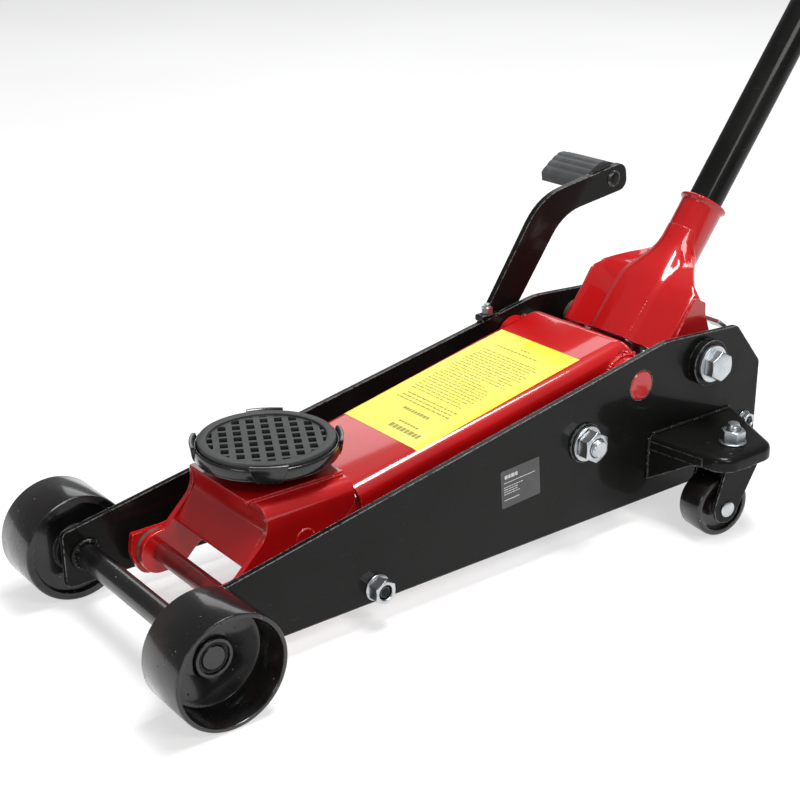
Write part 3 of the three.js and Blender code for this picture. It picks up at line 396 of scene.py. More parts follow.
class Finish:
    """One material: uniform values go straight to its shader, varying ones through nodes."""

    def __init__(self, name, **uniform):
        self.material = bpy.data.materials.new(name)
        self.material.use_nodes = True
        self.tree = self.material.node_tree
        self.shader = self.tree.nodes["Principled BSDF"]
        for key, value in uniform.items():
            self.shader.inputs[key.replace("_", " ")].default_value = value
        self.point = self.node("ShaderNodeTexCoord", {}, {}, "Object")

    def node(self, kind, settings, inputs, output=0):
        """Adds a node of a type with its settings, then the values or links of its sockets."""
        made = self.tree.nodes.new(kind)
        for key, value in settings.items():
            setattr(made, key, value)
        for key, value in inputs.items():
            if isinstance(value, Value):
                self.tree.links.new(value.socket, made.inputs[key])
            else:
                made.inputs[key].default_value = value
        return Value(self, made.outputs[output])

    def noise(self, per_metre, detail=3.0, rough=0.5, warp=0.0, stretch=None):
        """Cloudy variation with so many features to the metre; stretch scales it along each axis."""
        where = self.point
        if stretch:
            where = self.node("ShaderNodeVectorMath", {"operation": "MULTIPLY"}, {0: where, 1: stretch})
        inputs = {"Vector": where, "Scale": per_metre, "Detail": detail}
        inputs |= {"Roughness": rough, "Distortion": warp}
        return self.node("ShaderNodeTexNoise", {}, inputs)

    def cells(self, per_metre):
        """Distance to the nearest of scattered points, for pits and specks."""
        inputs = {"Vector": self.point, "Scale": per_metre, "Randomness": 1.0}
        return self.node("ShaderNodeTexVoronoi", {"feature": "F1"}, inputs, "Distance")

    def height(self):
        """Metres above the floor."""
        return self.node("ShaderNodeSeparateXYZ", {}, {"Vector": self.point}, "Z")

    def edges(self, radius_mm, low=0.02, high=0.22):
        """1 on edges sharper than the radius, 0 on open faces."""
        soft = self.node("ShaderNodeBevel", {"samples": 4}, {"Radius": radius_mm * MM})
        true = self.node("ShaderNodeNewGeometry", {}, {}, "Normal")
        dot = self.node("ShaderNodeVectorMath", {"operation": "DOT_PRODUCT"}, {0: soft, 1: true}, "Value")
        return (1 - dot).above(low, high)

    def mix(self, factor, first, second):
        """Colours blended by a factor."""
        settings = {"data_type": "RGBA", "clamp_factor": True}
        sockets = {0: factor, 6: first, 7: second}
        return self.node("ShaderNodeMix", settings, sockets, 2)

    def bump(self, height, depth_mm, strength=1.0):
        """A normal from a height, where 1 stands for depth_mm."""
        inputs = {"Strength": strength, "Distance": depth_mm * MM, "Height": height}
        return self.node("ShaderNodeBump", {}, inputs)

    def set(self, **links):
        """Links or sets the shader's sockets and gives the finished material."""
        for key, value in links.items():
            socket = self.shader.inputs[key.replace("_", " ")]
            if isinstance(value, Value):
                self.tree.links.new(value.socket, socket)
            else:
                socket.default_value = value
        return self.material


def colour_of(name):
    """One of the panel's colours, with its alpha."""
    return (*getattr(bpy.context.scene.jack_colours, name), 1.0)


FINISHES = {}


def finish(name):
    """The named finish, made the first time it is asked for."""
    if name not in FINISHES:
        FINISHES[name] = MAKERS[name]()
    return FINISHES[name]


def red_paint():
    f = Finish("red_gloss_paint", Coat_Roughness=0.06, Specular_IOR_Level=0.2, Coat_IOR=1.5)
    base = colour_of("red")
    deep = tuple(c * 0.62 for c in base[:3]) + (1.0,)
    chip = (0.10, 0.012, 0.012, 1)
    edge_wear_and_highlight = (0.80, 0.33, 0.33, 1)
    cloud = f.noise(9, 3, 0.5)
    run = f.noise(60, 2, 0.5, 0.4)
    grime = f.noise(32, 6, 0.62, 0.6).above(0.57, 0.72)
    edge = f.edges(1.6)
    edge_patches = f.noise(420, 4, 0.6).above(0.42, 0.62)
    pits = (1 - f.cells(190).above(0.05, 0.13)) * f.noise(21, 2).above(0.56, 0.62)
    colour = f.mix(cloud.above(0.3, 0.75) * 0.55, base, deep)
    colour = f.mix(grime * 0.3, colour, deep)
    # pink patches on edges and on the socket hood's ridges: partly chipped paint, partly a painted highlight
    # standing in for the glints along those ridges
    colour = f.mix(edge * edge_patches * 0.65, colour, edge_wear_and_highlight)
    colour = f.mix(pits * 0.8, colour, chip)
    peel = f.noise(260, 2, 0.5)
    height = peel * 0.35 + run * 0.9 - pits * 1.2
    return f.set(
        Base_Color=colour,
        Roughness=0.34 + grime * 0.2 + edge * edge_patches * 0.15,
        Coat_Weight=(1 - pits * 0.8 - edge * edge_patches * 0.4).clamped(),
        Normal=f.bump(height, 0.10, 0.6),
    )


def oxide_red():
    f = Finish("oxide_red_paint", Coat_Roughness=0.14, Specular_IOR_Level=0.3)
    base, dull = (0.17, 0.010, 0.010, 1), (0.075, 0.010, 0.009, 1)
    cloud = f.noise(60, 4, 0.6).above(0.35, 0.7)
    return f.set(
        Base_Color=f.mix(cloud, base, dull), Roughness=0.38 + cloud * 0.12, Coat_Weight=0.5,
        Normal=f.bump(f.noise(300, 2), 0.05, 0.5),
    )


def black_paint():
    f = Finish("black_gloss_paint", Coat_Roughness=0.09, Specular_IOR_Level=0.06)
    base = colour_of("black")
    dust = (0.16, 0.155, 0.145, 1)
    edge_wear_and_highlight = (0.42, 0.42, 0.42, 1)
    edge = f.edges(1.5, 0.01, 0.16)
    edge_patches = f.noise(300, 5, 0.65).above(0.36, 0.56)
    film = f.noise(14, 5, 0.6, 0.5).above(0.42, 0.72)
    specks = (1 - f.cells(240).above(0.03, 0.075)) * f.noise(50, 2).above(0.5, 0.58)
    scratch = f.noise(90, 3, 0.6, stretch=(1, 1, 14)).above(0.66, 0.72)
    colour = f.mix(film * 0.022, base, dust)
    colour = f.mix(specks * 0.55, colour, dust)
    colour = f.mix(scratch * 0.12, colour, dust)
    # pale grey patches along the edges: partly chipped paint, partly a painted highlight that brightens the
    # plates' top edges
    colour = f.mix(edge * edge_patches * 0.75, colour, edge_wear_and_highlight)
    height = f.noise(330, 2, 0.5) * 0.4 + f.noise(45, 2) * 0.6 + specks * 0.6
    return f.set(
        Base_Color=colour,
        Roughness=0.36 + film * 0.14 + specks * 0.2,
        Coat_Weight=(0.24 - film * 0.08 - specks * 0.15).clamped(),
        Normal=f.bump(height, 0.05, 0.5),
    )


def cast_black():
    f = Finish("black_cast_iron", Coat_Roughness=0.10, Specular_IOR_Level=0.3)
    base = colour_of("cast")
    dust = (0.28, 0.27, 0.26, 1)
    rust = (0.035, 0.014, 0.008, 1)
    grain = f.noise(520, 4, 0.6)
    lumps = f.noise(120, 3, 0.5)
    chips = (1 - f.cells(190).above(0.10, 0.20)) * f.noise(60, 2).above(0.5, 0.57)
    bright = (1 - f.cells(170).above(0.07, 0.11)) * f.noise(44, 2).above(0.52, 0.58)
    edge = f.edges(1.4)
    edge_patches = f.noise(260, 4).above(0.5, 0.64)
    colour = f.mix(f.noise(26, 4, 0.6).above(0.5, 0.8) * 0.4, base, rust)
    colour = f.mix(bright * 0.85, colour, dust)
    colour = f.mix(edge * edge_patches * 0.5, colour, dust)
    height = grain * 0.45 + lumps * 0.8 - chips * 2.0 + bright * 0.5
    return f.set(
        Base_Color=colour,
        Roughness=0.26 + f.noise(40, 3).above(0.4, 0.7) * 0.16 + chips * 0.3,
        Coat_Weight=(0.75 - chips * 0.75 - bright * 0.5).clamped(),
        Normal=f.bump(height, 0.12, 0.7),
    )


def zinc():
    f = Finish("zinc_plate", Metallic=1.0)
    light, blue, dull = (0.58, 0.60, 0.61, 1), (0.40, 0.45, 0.50, 1), (0.30, 0.29, 0.27, 1)
    cloud = f.noise(110, 4, 0.6)
    stain = f.noise(240, 5, 0.6, 0.8).above(0.56, 0.74)
    colour = f.mix(cloud.above(0.35, 0.7) * 0.6, light, blue)
    colour = f.mix(stain * 0.5, colour, dull)
    height = f.noise(900, 3) * 0.5 + f.noise(160, 2)
    return f.set(
        Base_Color=colour, Roughness=0.27 + stain * 0.22 + cloud * 0.08, Normal=f.bump(height, 0.03, 0.5)
    )


def machined_steel():
    f = Finish("machined_steel", Metallic=1.0)
    light, oil = (0.50, 0.50, 0.51, 1), (0.20, 0.17, 0.13, 1)
    film = f.noise(60, 5, 0.6, 0.7).above(0.42, 0.75)
    turned = f.noise(1500, 2, 0.4, stretch=(1, 0.15, 1))
    return f.set(
        Base_Color=f.mix(film * 0.55, light, oil),
        Roughness=0.28 + film * 0.25 + turned * 0.08,
        Normal=f.bump(turned, 0.02, 0.6),
    )


def hard_chrome():
    f = Finish("hard_chrome", Metallic=1.0)
    light, oil = (0.86, 0.87, 0.88, 1), (0.45, 0.38, 0.28, 1)
    film = f.noise(45, 4, 0.55, 0.5).above(0.5, 0.8)
    return f.set(
        Base_Color=f.mix(film * 0.4, light, oil),
        Roughness=0.08 + film * 0.16,
        Normal=f.bump(f.noise(1800, 2), 0.006, 0.5),
    )


def brown_primer():
    f = Finish("brown_steel", Metallic=0.35, Specular_IOR_Level=0.4)
    base, pale = (0.075, 0.060, 0.050, 1), (0.16, 0.135, 0.115, 1)
    cloud = f.noise(120, 5, 0.6)
    return f.set(
        Base_Color=f.mix(cloud.above(0.35, 0.7), base, pale),
        Roughness=0.5 + cloud * 0.15,
        Normal=f.bump(f.noise(700, 3), 0.04, 0.6),
    )


# PAD_SHADE sets where painted shade darkens the pad's pockets towards their floors
PAD_SHADE = (0.1350, 0.1386)  # heights between which the pad's pockets darken towards their floors


def pad_rubber():
    f = Finish("pad_rubber", Specular_IOR_Level=0.42)
    base, dust, dark = (0.030, 0.031, 0.032, 1), (0.11, 0.11, 0.11, 1), (0.018, 0.018, 0.019, 1)
    bloom = f.noise(26, 5, 0.6, 0.4).above(0.38, 0.72)
    grain = f.noise(1300, 3, 0.6)
    edge = f.edges(0.9)
    colour = f.mix(bloom * 0.35, base, dust)
    colour = f.mix(edge * 0.25, colour, dust)
    colour = f.mix((1 - f.noise(160, 3).above(0.3, 0.5)) * 0.3, colour, dark)
    # painted shade: near black towards the pockets' floors, standing in for the shade inside them
    colour = f.mix(1 - f.height().above(*PAD_SHADE), colour, (0.004, 0.004, 0.004, 1))
    return f.set(
        Base_Color=colour, Roughness=0.46 + bloom * 0.16 + grain * 0.06, Normal=f.bump(grain, 0.05, 0.5)
    )


def pedal_rubber():
    f = Finish("pedal_rubber", Specular_IOR_Level=0.4)
    base, dust = (0.045, 0.047, 0.050, 1), (0.15, 0.15, 0.155, 1)
    bloom = f.noise(40, 5, 0.6, 0.3).above(0.4, 0.7)
    grain = f.noise(1100, 3, 0.6)
    colour = f.mix(bloom * 0.3 + f.edges(0.8) * 0.35, base, dust)
    return f.set(Base_Color=colour, Roughness=0.5 + grain * 0.12, Normal=f.bump(grain, 0.06, 0.5))


def grip_rubber():
    f = Finish("grip_rubber", Specular_IOR_Level=0.35)
    base, dust = (0.020, 0.020, 0.022, 1), (0.09, 0.09, 0.09, 1)
    bloom = f.noise(30, 4, 0.6).above(0.45, 0.8)
    grain = f.noise(900, 2)
    return f.set(
        Base_Color=f.mix(bloom * 0.3 + f.edges(0.8) * 0.2, base, dust), Roughness=0.6 + grain * 0.1,
        Normal=f.bump(grain, 0.05, 0.5),
    )


def yellow_sticker():
    f = Finish("yellow_sticker", Coat_Roughness=0.16)
    base, pale = colour_of("sticker"), (0.76, 0.72, 0.17, 1)
    fade = f.noise(14, 3, 0.5).above(0.35, 0.75)
    dirt = f.noise(70, 5, 0.65, 0.4).above(0.62, 0.78)
    colour = f.mix(fade * 0.3, base, pale)
    colour = f.mix(dirt * 0.12, colour, (0.35, 0.28, 0.06, 1))
    wave = f.noise(55, 2) + f.noise(500, 2) * 0.15
    return f.set(
        Base_Color=colour, Roughness=0.42 + dirt * 0.15, Coat_Weight=(0.5 - dirt * 0.3).clamped(),
        Normal=f.bump(wave, 0.05, 0.5),
    )


def ink(name, colour):
    def make():
        f = Finish(name)
        gaps = f.noise(650, 3, 0.6).above(0.25, 0.45)
        pale = tuple(c * 1.7 + 0.02 for c in colour[:3]) + (1.0,)
        return f.set(Base_Color=f.mix(gaps, pale, colour), Roughness=0.5, Normal=f.bump(gaps, 0.01, 0.4))

    return make


def dark_sticker():
    f = Finish("dark_sticker", Coat_Roughness=0.2)
    base, pale = (0.030, 0.030, 0.030, 1), (0.055, 0.055, 0.054, 1)
    film = f.noise(40, 4, 0.6).above(0.4, 0.7)
    return f.set(
        Base_Color=f.mix(film, base, pale), Roughness=0.4 + film * 0.12, Coat_Weight=0.4,
        Normal=f.bump(f.noise(400, 2), 0.02, 0.4),
    )


def spring_steel():
    f = Finish("spring_steel", Metallic=0.85)
    light, dark = (0.24, 0.24, 0.25, 1), (0.07, 0.065, 0.06, 1)
    film = f.noise(90, 5, 0.6).above(0.35, 0.7)
    return f.set(
        Base_Color=f.mix(film, light, dark), Roughness=0.34 + film * 0.2, Normal=f.bump(
            f.noise(700, 2), 0.02, 0.5
        )
    )


def floor_finish():
    f = Finish("pale_floor", Specular_IOR_Level=0.2, Emission_Color=(1, 1, 1, 1), Emission_Strength=0.60)
    tint = f.noise(1.3, 3, 0.5)
    colour = f.mix(tint.above(0.3, 0.7), (0.40, 0.40, 0.398, 1), (0.43, 0.43, 0.43, 1))
    return f.set(Base_Color=colour, Roughness=0.75 + tint * 0.1)


MAKERS = {
    "red": red_paint,
    "oxide": oxide_red,
    "black": black_paint,
    "cast": cast_black,
    "zinc": zinc,
    "steel": machined_steel,
    "chrome": hard_chrome,
    "brown": brown_primer,
    "pad": pad_rubber,
    "pedal": pedal_rubber,
    "grip": grip_rubber,
    "sticker": yellow_sticker,
    "grey_ink": ink("grey_ink", (0.30, 0.27, 0.06, 1)),
    "white_ink": ink("white_ink", (0.55, 0.55, 0.55, 1)),
    "dark_sticker": dark_sticker,
    "spring": spring_steel,
    "floor": floor_finish,
}

# ---------------------------------------------------------------------------------- settings


class JackColours(bpy.types.PropertyGroup):
    """Colours of the paint, the castings and the label."""

    red: FloatVectorProperty(
        name="Red paint", description="Gloss paint of the arm, links and socket",
        default=(0.50, 0.005, 0.006),
        subtype="COLOR", size=3, min=0, max=1,
    )
    black: FloatVectorProperty(
        name="Black paint", description="Gloss paint of the side plates and the handle",
        default=(0.0055, 0.0055, 0.0052),
        subtype="COLOR", size=3, min=0, max=1,
    )
    cast: FloatVectorProperty(
        name="Castings", description="Painted cast iron of the wheels and the saddle",
        default=(0.005, 0.005, 0.005),
        subtype="COLOR", size=3, min=0, max=1,
    )
    sticker: FloatVectorProperty(
        name="Label", description="Film of the label on the lift arm", default=(0.76, 0.71, 0.028),
        subtype="COLOR", size=3, min=0, max=1,
    )


class JackSizes(bpy.types.PropertyGroup):
    """Sizes of the details that only the looks have."""

    plate_edge: FloatProperty(
        name="Plate edge", description="Rounding on the edges of the cut plates", default=0.0009,
        unit="LENGTH", min=0.0001, max=0.002, precision=5,
    )
    pocket: FloatProperty(
        name="Pad pocket", description="Width of the pockets in the saddle pad", default=0.0063,
        unit="LENGTH", min=0.003, max=0.009, precision=5,
    )
    pocket_pitch: FloatProperty(
        name="Pocket pitch", description="Distance between pockets in the saddle pad", default=0.0114,
        unit="LENGTH", min=0.008, max=0.02, precision=5,
    )
    pedal_ribs: IntProperty(
        name="Pedal ribs", description="Ribs across the top of the pedal pad", default=7, min=3, max=12
    )


def sizes():
    return bpy.context.scene.jack_sizes


# --------------------------------------------------------------------------- shapes used again


def hex_body(shape, axis, centre, across, low, high, bore=0.0, both=False, steps=48):
    """A hexagon nut or bolt head with its corners turned off; high is the outer face."""
    a, b, c = AXES[axis]
    centre = Vector(centre)
    flat = across / 2
    sign = 1 if high > low else -1

    def ring(radius_of, height_of):
        out = []
        for k in range(steps):
            t = 2 * math.pi * k / steps
            r = radius_of(t)
            out.append(centre + (a * math.cos(t) + b * math.sin(t)) * r + c * height_of(r))
        return out

    def edge(t):
        return flat / math.cos((t % (math.pi / 3)) - math.pi / 6)

    def drop(r):
        return max(0.0, r - flat * 0.97) * 0.55

    rings = [
        ring(edge, lambda r: low + sign * (drop(r) if both else 0)),
        ring(edge, lambda r: high - sign * drop(r)),
    ]
    rings.append(ring(lambda t: flat * 0.96, lambda r: high))
    if both:
        rings.insert(0, ring(lambda t: flat * 0.96, lambda r: low))
    if bore:
        rings.append(ring(lambda t: bore + 0.8, lambda r: high))
        rings.append(ring(lambda t: bore, lambda r: high - sign * 0.8))
        rings.append(ring(lambda t: bore, lambda r: low))
        rings.append(rings[0])
        shape.loft(rings, ends=False)
    else:
        shape.loft(rings)
    return shape


def thread(shape, axis, centre, r, low, high, pitch=1.6, steps=40):
    """A threaded end: ridges from low to high, and a chamfered tip at high."""
    sign = 1 if high > low else -1
    profile = [(0, low)]
    turns = int(abs(high - low) / pitch)
    for k in range(turns):
        profile += [(r, low + sign * (k + 0.2) * pitch), (r - 0.75, low + sign * (k + 0.7) * pitch)]
    profile += [(r - 1.2, high), (0, high)]
    return shape.lathe(profile, axis, centre, steps)


def helix(shape, place_at, along, r, length, wire, turns, per_turn=20, steps=8):
    """A coil spring of round wire from a point along a direction, with closed end turns."""
    along = Vector(along).normalized()
    side = along.orthogonal().normalized()
    up = along.cross(side)
    start = Vector(place_at)
    points = []
    total = int(turns * per_turn)
    for k in range(total + 1):
        t = k / total
        rise = min(max((t * turns - 0.8) / (turns - 1.6), 0), 1) * (length - 3 * wire) + wire
        rise += wire * (min(t * turns, 0.8) / 0.8 * 0.5 + max(t * turns - turns + 0.8, 0) / 0.8 * 0.5)
        angle = 2 * math.pi * turns * t
        points.append(start + along * rise + (side * math.cos(angle) + up * math.sin(angle)) * r)
    return shape.sweep(points, wire, steps)


def washer(name, x, z, side, outer, inner, low, high, material="zinc", slot="zinc", body="frame", **extra):
    low, high = spans(side, low, high)
    shape = Shape().ring(outer, inner, low, high, "Y", (x, 0, z))
    return shape.done(name, finish(material), body, slot, bevel=0.4, **extra)


# ------------------------------------------------------------------------------------ operators


class JackOperator:
    bl_options = {"REGISTER", "UNDO"}


class JACK_OT_side_plates(JackOperator, bpy.types.Operator):
    """Cut plates of the chassis, with their holes and the small label"""

    bl_idname = "jack.side_plates"
    bl_label = "Side plates"

    def execute(self, context):
        corners = [
            (18.5, 19.5, 5), (18.5, 67.5, 5), (-477, 163.5, 60), (-569, 158.5, 6), (-602.5, 118, 6),
            (-602.5, 45, 6), (-575, 19.5, 10),
        ]
        holes = [
            circle(0, WHEEL_Z, AXLE_R + PIN_GAP), circle(*TIE_FRONT, 6.3), circle(*TIE_REAR, 4.3),
            circle(*LINK_PIVOT, 8.3),
            circle(*ARM_PIVOT, 13.3, 56), circle(*SOCKET_PIVOT, 9.3),
        ]
        slot = capsule((PEDAL_PIN[0], PEDAL_PIN[1]), (PEDAL_PIN[0] + 9.8, PEDAL_PIN[1]), 5.61, 5.6, 16)
        extra = {"left": [], "right": [slot, circle(*PEDAL_PIVOT, 5.3)]}
        for name, side in SIDES.items():
            shape = Shape().prism(
                rounded(corners), *spans(side, PLATE_IN, PLATE_OUT), holes=holes + extra[name]
            )
            shape.done(
                f"plate_{name}", finish("black"), "frame", "black_paint", (f"side_plate_{name}",),
                bevel=sizes().plate_edge / MM, segments=3,
            )
        self.label()
        return {"FINISHED"}

    def label(self):
        """Small dark label on the left plate: a heading bar, a rule and lines of fine print."""
        origin = Matrix.Translation((-311, 0, 78)) @ Matrix.Rotation(math.radians(4), 4, "Y")
        place = CHASSIS @ origin
        outline = rounded([(-21, -17, 1.5), (21, -17, 1.5), (21, 17, 1.5), (-21, 17, 1.5)])
        film = Shape(place).prism(outline, PLATE_OUT + 0.02, PLATE_OUT + 0.15)
        film.done("plate_label", finish("dark_sticker"), "frame", "black_paint", bevel=0)
        draw = random.Random(7)
        print_shape = Shape(place)

        def bar(x0, x1, z, height):
            print_shape.prism([(x0, z), (x1, z), (x1, z + height), (x0, z + height)], 86.46, 86.5)

        x = 17.0
        for width in (3.2, 2.4, 3.6, 2.6):
            bar(x - width, x, 9.0, 3.2)
            x -= width + 0.7
        bar(-16, 18, 5.2, 0.6)
        for row, length in enumerate((19, 14, 12, 16)):
            x = 18.0
            while x > 18 - length:
                width = draw.uniform(1.2, 3.6)
                bar(x - width, x, 1.2 - row * 2.1, 0.75)
                x -= width + 0.6
        bar(2, 18, -10.5, 0.75)
        print_shape.done("plate_label_print", finish("white_ink"), "frame", "black_paint", bevel=0)


class JACK_OT_caster_brackets(JackOperator, bpy.types.Operator):
    """Pressed shelves that carry the casters, with their turned-down edges and welds"""

    bl_idname = "jack.caster_brackets"
    bl_label = "Caster brackets"

    def execute(self, context):
        root, outer, front, rear, taper = 86.6, 167.0, -461.0, -570.0, 9.0
        lip = 4.0
        for name, side in SIDES.items():

            def edge(inset):
                return rounded(
                    [
                        (front - inset, side * root),
                        (front - taper - inset, side * (outer - inset), 18 - inset),
                        (rear + 38 + inset, side * (outer - inset), 20 - inset),
                        (rear + inset, side * root),
                    ]
                )

            shape = Shape()
            section = (
                (3.9, 75), (3.9, 67.8), (3.1, 67), (0.8, 67), (0, 67.8), (0, 75), (0.5, 77.2), (1.9, 79),
                (4.6, 80),
            )
            shape.loft([[Vector((p.x, p.y, z)) for p in edge(inset)] for inset, z in section])
            rings = []
            for inward in (0, lip):
                ring = []
                for out, z in ((0, 38.5), (44, 65), (56, 68), (56, 74.9), (0, 74.9)):
                    x = front - taper * out / (outer - root) - inward - 0.02
                    ring.append(Vector((x, side * (root + out), z)))
                rings.append(ring)
            shape.loft(rings)
            shape.done(
                f"caster_shelf_{name}", finish("black"), "frame", "black_paint",
                (f"caster_bracket_{name}",),
                bevel=1.0, segments=3, limit=50,
            )
            bead = Shape()
            bead.weld([(front - 4, side * 87.4, 81), (rear + 6, side * 87.4, 81)], 1.7, 11)
            bead.weld([(front + 0.6, side * 87.4, 40), (front + 0.6, side * 87.4, 78)], 1.6, 12)
            bead.done(
                f"caster_shelf_weld_{name}", finish("black"), "frame", "black_paint", bevel=0,
                dissolve=False,
            )
        return {"FINISHED"}


class JACK_OT_fasteners(JackOperator, bpy.types.Operator):
    """Tie rods, bolts, nuts, washers and collars of the chassis"""

    bl_idname = "jack.fasteners"
    bl_label = "Fasteners"

    def execute(self, context):
        for name, side in SIDES.items():
            self.tie_nuts(name, side)
            self.link_bolt(name, side)
            self.socket_bolt(name, side)
            self.caster_nut(name, side)
        for rod, (x, z), body_r, thread_r, end in (
            ("front_tie_rod", TIE_FRONT, 8.5, 6.0, 97.0), ("rear_tie_rod", TIE_REAR, 7.0, 4.0, 95.0),
        ):
            shape = Shape().ring(body_r, thread_r + 0.4, -81, 81, "Y", (x, 0, z))
            shape.rod(thread_r - 0.1, -86, 86, "Y", (x, 0, z))
            for side in SIDES.values():
                thread(shape, "Y", (x, 0, z), thread_r - 0.2, side * 85.9, side * end, 1.4)
            shape.done(rod + "_tube", finish("black"), "frame", "black_paint", (rod,), bevel=0.4)
        return {"FINISHED"}

    def tie_nuts(self, name, side):
        for nut, (x, z), across, high, bore in (
            ("front_tie_nut", TIE_FRONT, 18, 98.4, 6.1), ("rear_tie_nut", TIE_REAR, 13, 94.0, 4.1),
        ):
            flange = across * 0.62
            shape = Shape()
            hex_body(shape, "Y", (x, 0, z), across, side * 88.2, side * high, bore)
            profile = [
                (bore, side * 86.6), (flange, side * 86.6), (flange, side * 87.4),
                (flange - 1.6, side * 88.4), (bore, side * 88.4),
            ]
            shape.lathe(profile, "Y", (x, 0, z), 48)
            shape.done(
                f"{nut}_{name}_flanged", finish("zinc"), "frame", "zinc", (f"{nut}_{name}",), bevel=0.35
            )

    def link_bolt(self, name, side):
        x, z = LINK_PIVOT
        shape = Shape()
        hex_body(shape, "Y", (x, 0, z), 24, side * 63.6, side * 56.8)
        shape.rod(7.9, *spans(side, 63.5, 88), "Y", (x, 0, z))
        thread(shape, "Y", (x, 0, z), 7.9, side * 87.9, side * 106.4, 2.0)
        shape.done(f"link_screw_{name}", finish("zinc"), "frame", "zinc", (f"link_bolt_{name}",), bevel=0.4)
        nut = Shape()
        hex_body(nut, "Y", (x, 0, z), 24, side * 91.2, side * 102.6, 8.1, both=True)
        nut.done(f"link_hex_nut_{name}", finish("zinc"), "frame", "zinc", (f"link_nut_{name}",), bevel=0.35)
        washer(f"link_washer_{name}", x, z, side, 15.5, 8.3, 88.4, 91.0)
        washer(f"link_backing_ring_{name}", x, z, side, 17.5, 8.3, 86.4, 88.3, "black", "black_paint")
        inner = Shape().ring(15, 8.2, *spans(side, 69.6, 80.9), "Y", (x, 0, z))
        inner.done(f"link_inner_spacer_{name}", finish("brown"), "frame", "steel", bevel=0.5)

    def socket_bolt(self, name, side):
        x, z = SOCKET_PIVOT
        washer(
            f"socket_rubber_collar_{name}", x, z, side, 21, 9.4, 86.5, 94.1, "black", "black_paint",
            hides=(f"socket_collar_{name}",), segments=3,
        )
        washer(f"socket_washer_{name}", x, z, side, 16.8, 9.4, 94.3, 97.3)
        shape = Shape()
        hex_body(shape, "Y", (x, 0, z), 24, side * 97.4, side * 107.4)
        shape.rod(8.9, *spans(side, 58.2, 97.6), "Y", (x, 0, z))
        dimple = [(0, side * 107.42), (4.6, side * 107.42), (5.4, side * 107.3), (0, side * 107.3)]
        shape.lathe(dimple, "Y", (x, 0, z), 32)
        shape.done(
            f"socket_screw_{name}", finish("zinc"), "frame", "zinc", (f"socket_bolt_{name}",), bevel=0.5
        )
        inner = Shape().ring(15, 9.2, *spans(side, 66.4, 81.0), "Y", (x, 0, z))
        inner.done(f"socket_inner_spacer_{name}", finish("brown"), "frame", "steel", bevel=0.5)

    def caster_nut(self, name, side):
        x, y = CASTER_AT[0], side * CASTER_AT[1]
        shape = Shape()
        hex_body(shape, "Z", (x, y, 0), 19, 82.0, 92.2, 6.3)
        profile = [(6.3, 80.35), (12, 80.35), (12, 81.3), (10, 82.3), (6.3, 82.3)]
        shape.lathe(profile, "Z", (x, y, 0), 48)
        shape.done(
            f"caster_flange_nut_{name}", finish("zinc"), "frame", "zinc", (f"caster_nut_{name}",),
            bevel=0.35,
        )


class JACK_OT_front_wheels(JackOperator, bpy.types.Operator):
    """Cast front wheels on their axle, with circlips and spacer washers"""

    bl_idname = "jack.front_wheels"
    bl_label = "Front wheels and axle"

    def execute(self, context):
        centre = (0, 0, WHEEL_Z)
        for name, side in SIDES.items():
            profile = [
                (10.3, 92.9), (19.5, 92.9), (20.5, 96.9), (37.5, 97.2), (39, 93.1), (43.6, 92.9),
                (44.6, 93.6), (45, 95), (45, 140.4), (44.5, 141.9), (43.2, 142.4), (41.6, 142.2),
                (41, 141.2), (40.3, 118.5), (38.6, 114.6), (35.5, 113.6), (17.4, 113.6), (16, 114.4),
                (15.6, 116.6), (14.8, 117.4), (12.6, 117.4), (12.3, 117), (12.3, 113.6), (10.3, 113.6),
            ]
            shape = Shape().lathe([(r, side * y) for r, y in profile], "Y", centre, 144)
            shape.done(
                f"cast_wheel_{name}", finish("cast"), f"front_wheel_{name}", "black_cast",
                (f"front_wheel_{name}",),
                bevel=0.3, smooth=50,
            )
            washer(f"wheel_spacer_{name}", 0, WHEEL_Z, side, 16, 10.2, 86.5, 92.5, "black", "black_paint")
            clip = Shape().ring(12.1, 9.4, *spans(side, 113.9, 115.2), "Y", centre)
            clip.done(f"wheel_circlip_{name}", finish("black"), "frame", "steel", bevel=0.3)
        shape = Shape().lathe(
            [(0, -116.5), (8.8, -116.5), (AXLE_R, -115.2), (AXLE_R, 115.2), (8.8, 116.5), (0, 116.5)],
            "Y", centre, 72,
        )
        shape.done("axle_bar", finish("cast"), "frame", "black_paint", ("front_axle",), bevel=0.2)
        bead = Shape()
        for side in SIDES.values():
            ring = [Vector((p.x, side * 79.6, p.y)) for p in circle(0, WHEEL_Z, AXLE_R + 1.3, 30)]
            bead.weld(ring, 2.3, 21 + side, closed=True)
        bead.done("axle_weld", finish("black"), "frame", "black_paint", bevel=0, dissolve=False)
        return {"FINISHED"}


ARM_TOP = 29.9
ARM_CORNER = 13.0
ARM_REAR = -20.0
ARM_ROLL = 15.0
ARM_WALL = 5.0
ARM_LOW = -6.0
REAR_HALF, TAPER, NOSE_HALF = 62.5, 6.0, 50.5
TAPER_FROM = 60.0
WIDE_END = NOSE_U - 55
TUBE_R, NOSE_TUBE_R, SHAFT_R, PIN_R = 20.0, 14.0, 13.0, 8.0


def arm_half_width(u):
    """Half the arm's width at a place along it."""
    if u <= TAPER_FROM:
        return REAR_HALF
    if u <= WIDE_END:
        return REAR_HALF - TAPER * (u - TAPER_FROM) / (WIDE_END - TAPER_FROM)
    return NOSE_HALF


def arm_top(u, y=0.0):
    """Height of the arm's skin above its pivot, square to its slope."""
    v = ARM_TOP
    if u < ARM_REAR + ARM_ROLL:
        v -= ARM_ROLL - math.sqrt(max(0, ARM_ROLL**2 - (ARM_REAR + ARM_ROLL - u) ** 2))
    over = abs(y) - (arm_half_width(u) - ARM_CORNER)
    if over > 0:
        v -= ARM_CORNER - math.sqrt(max(0, ARM_CORNER**2 - over**2))
    return v


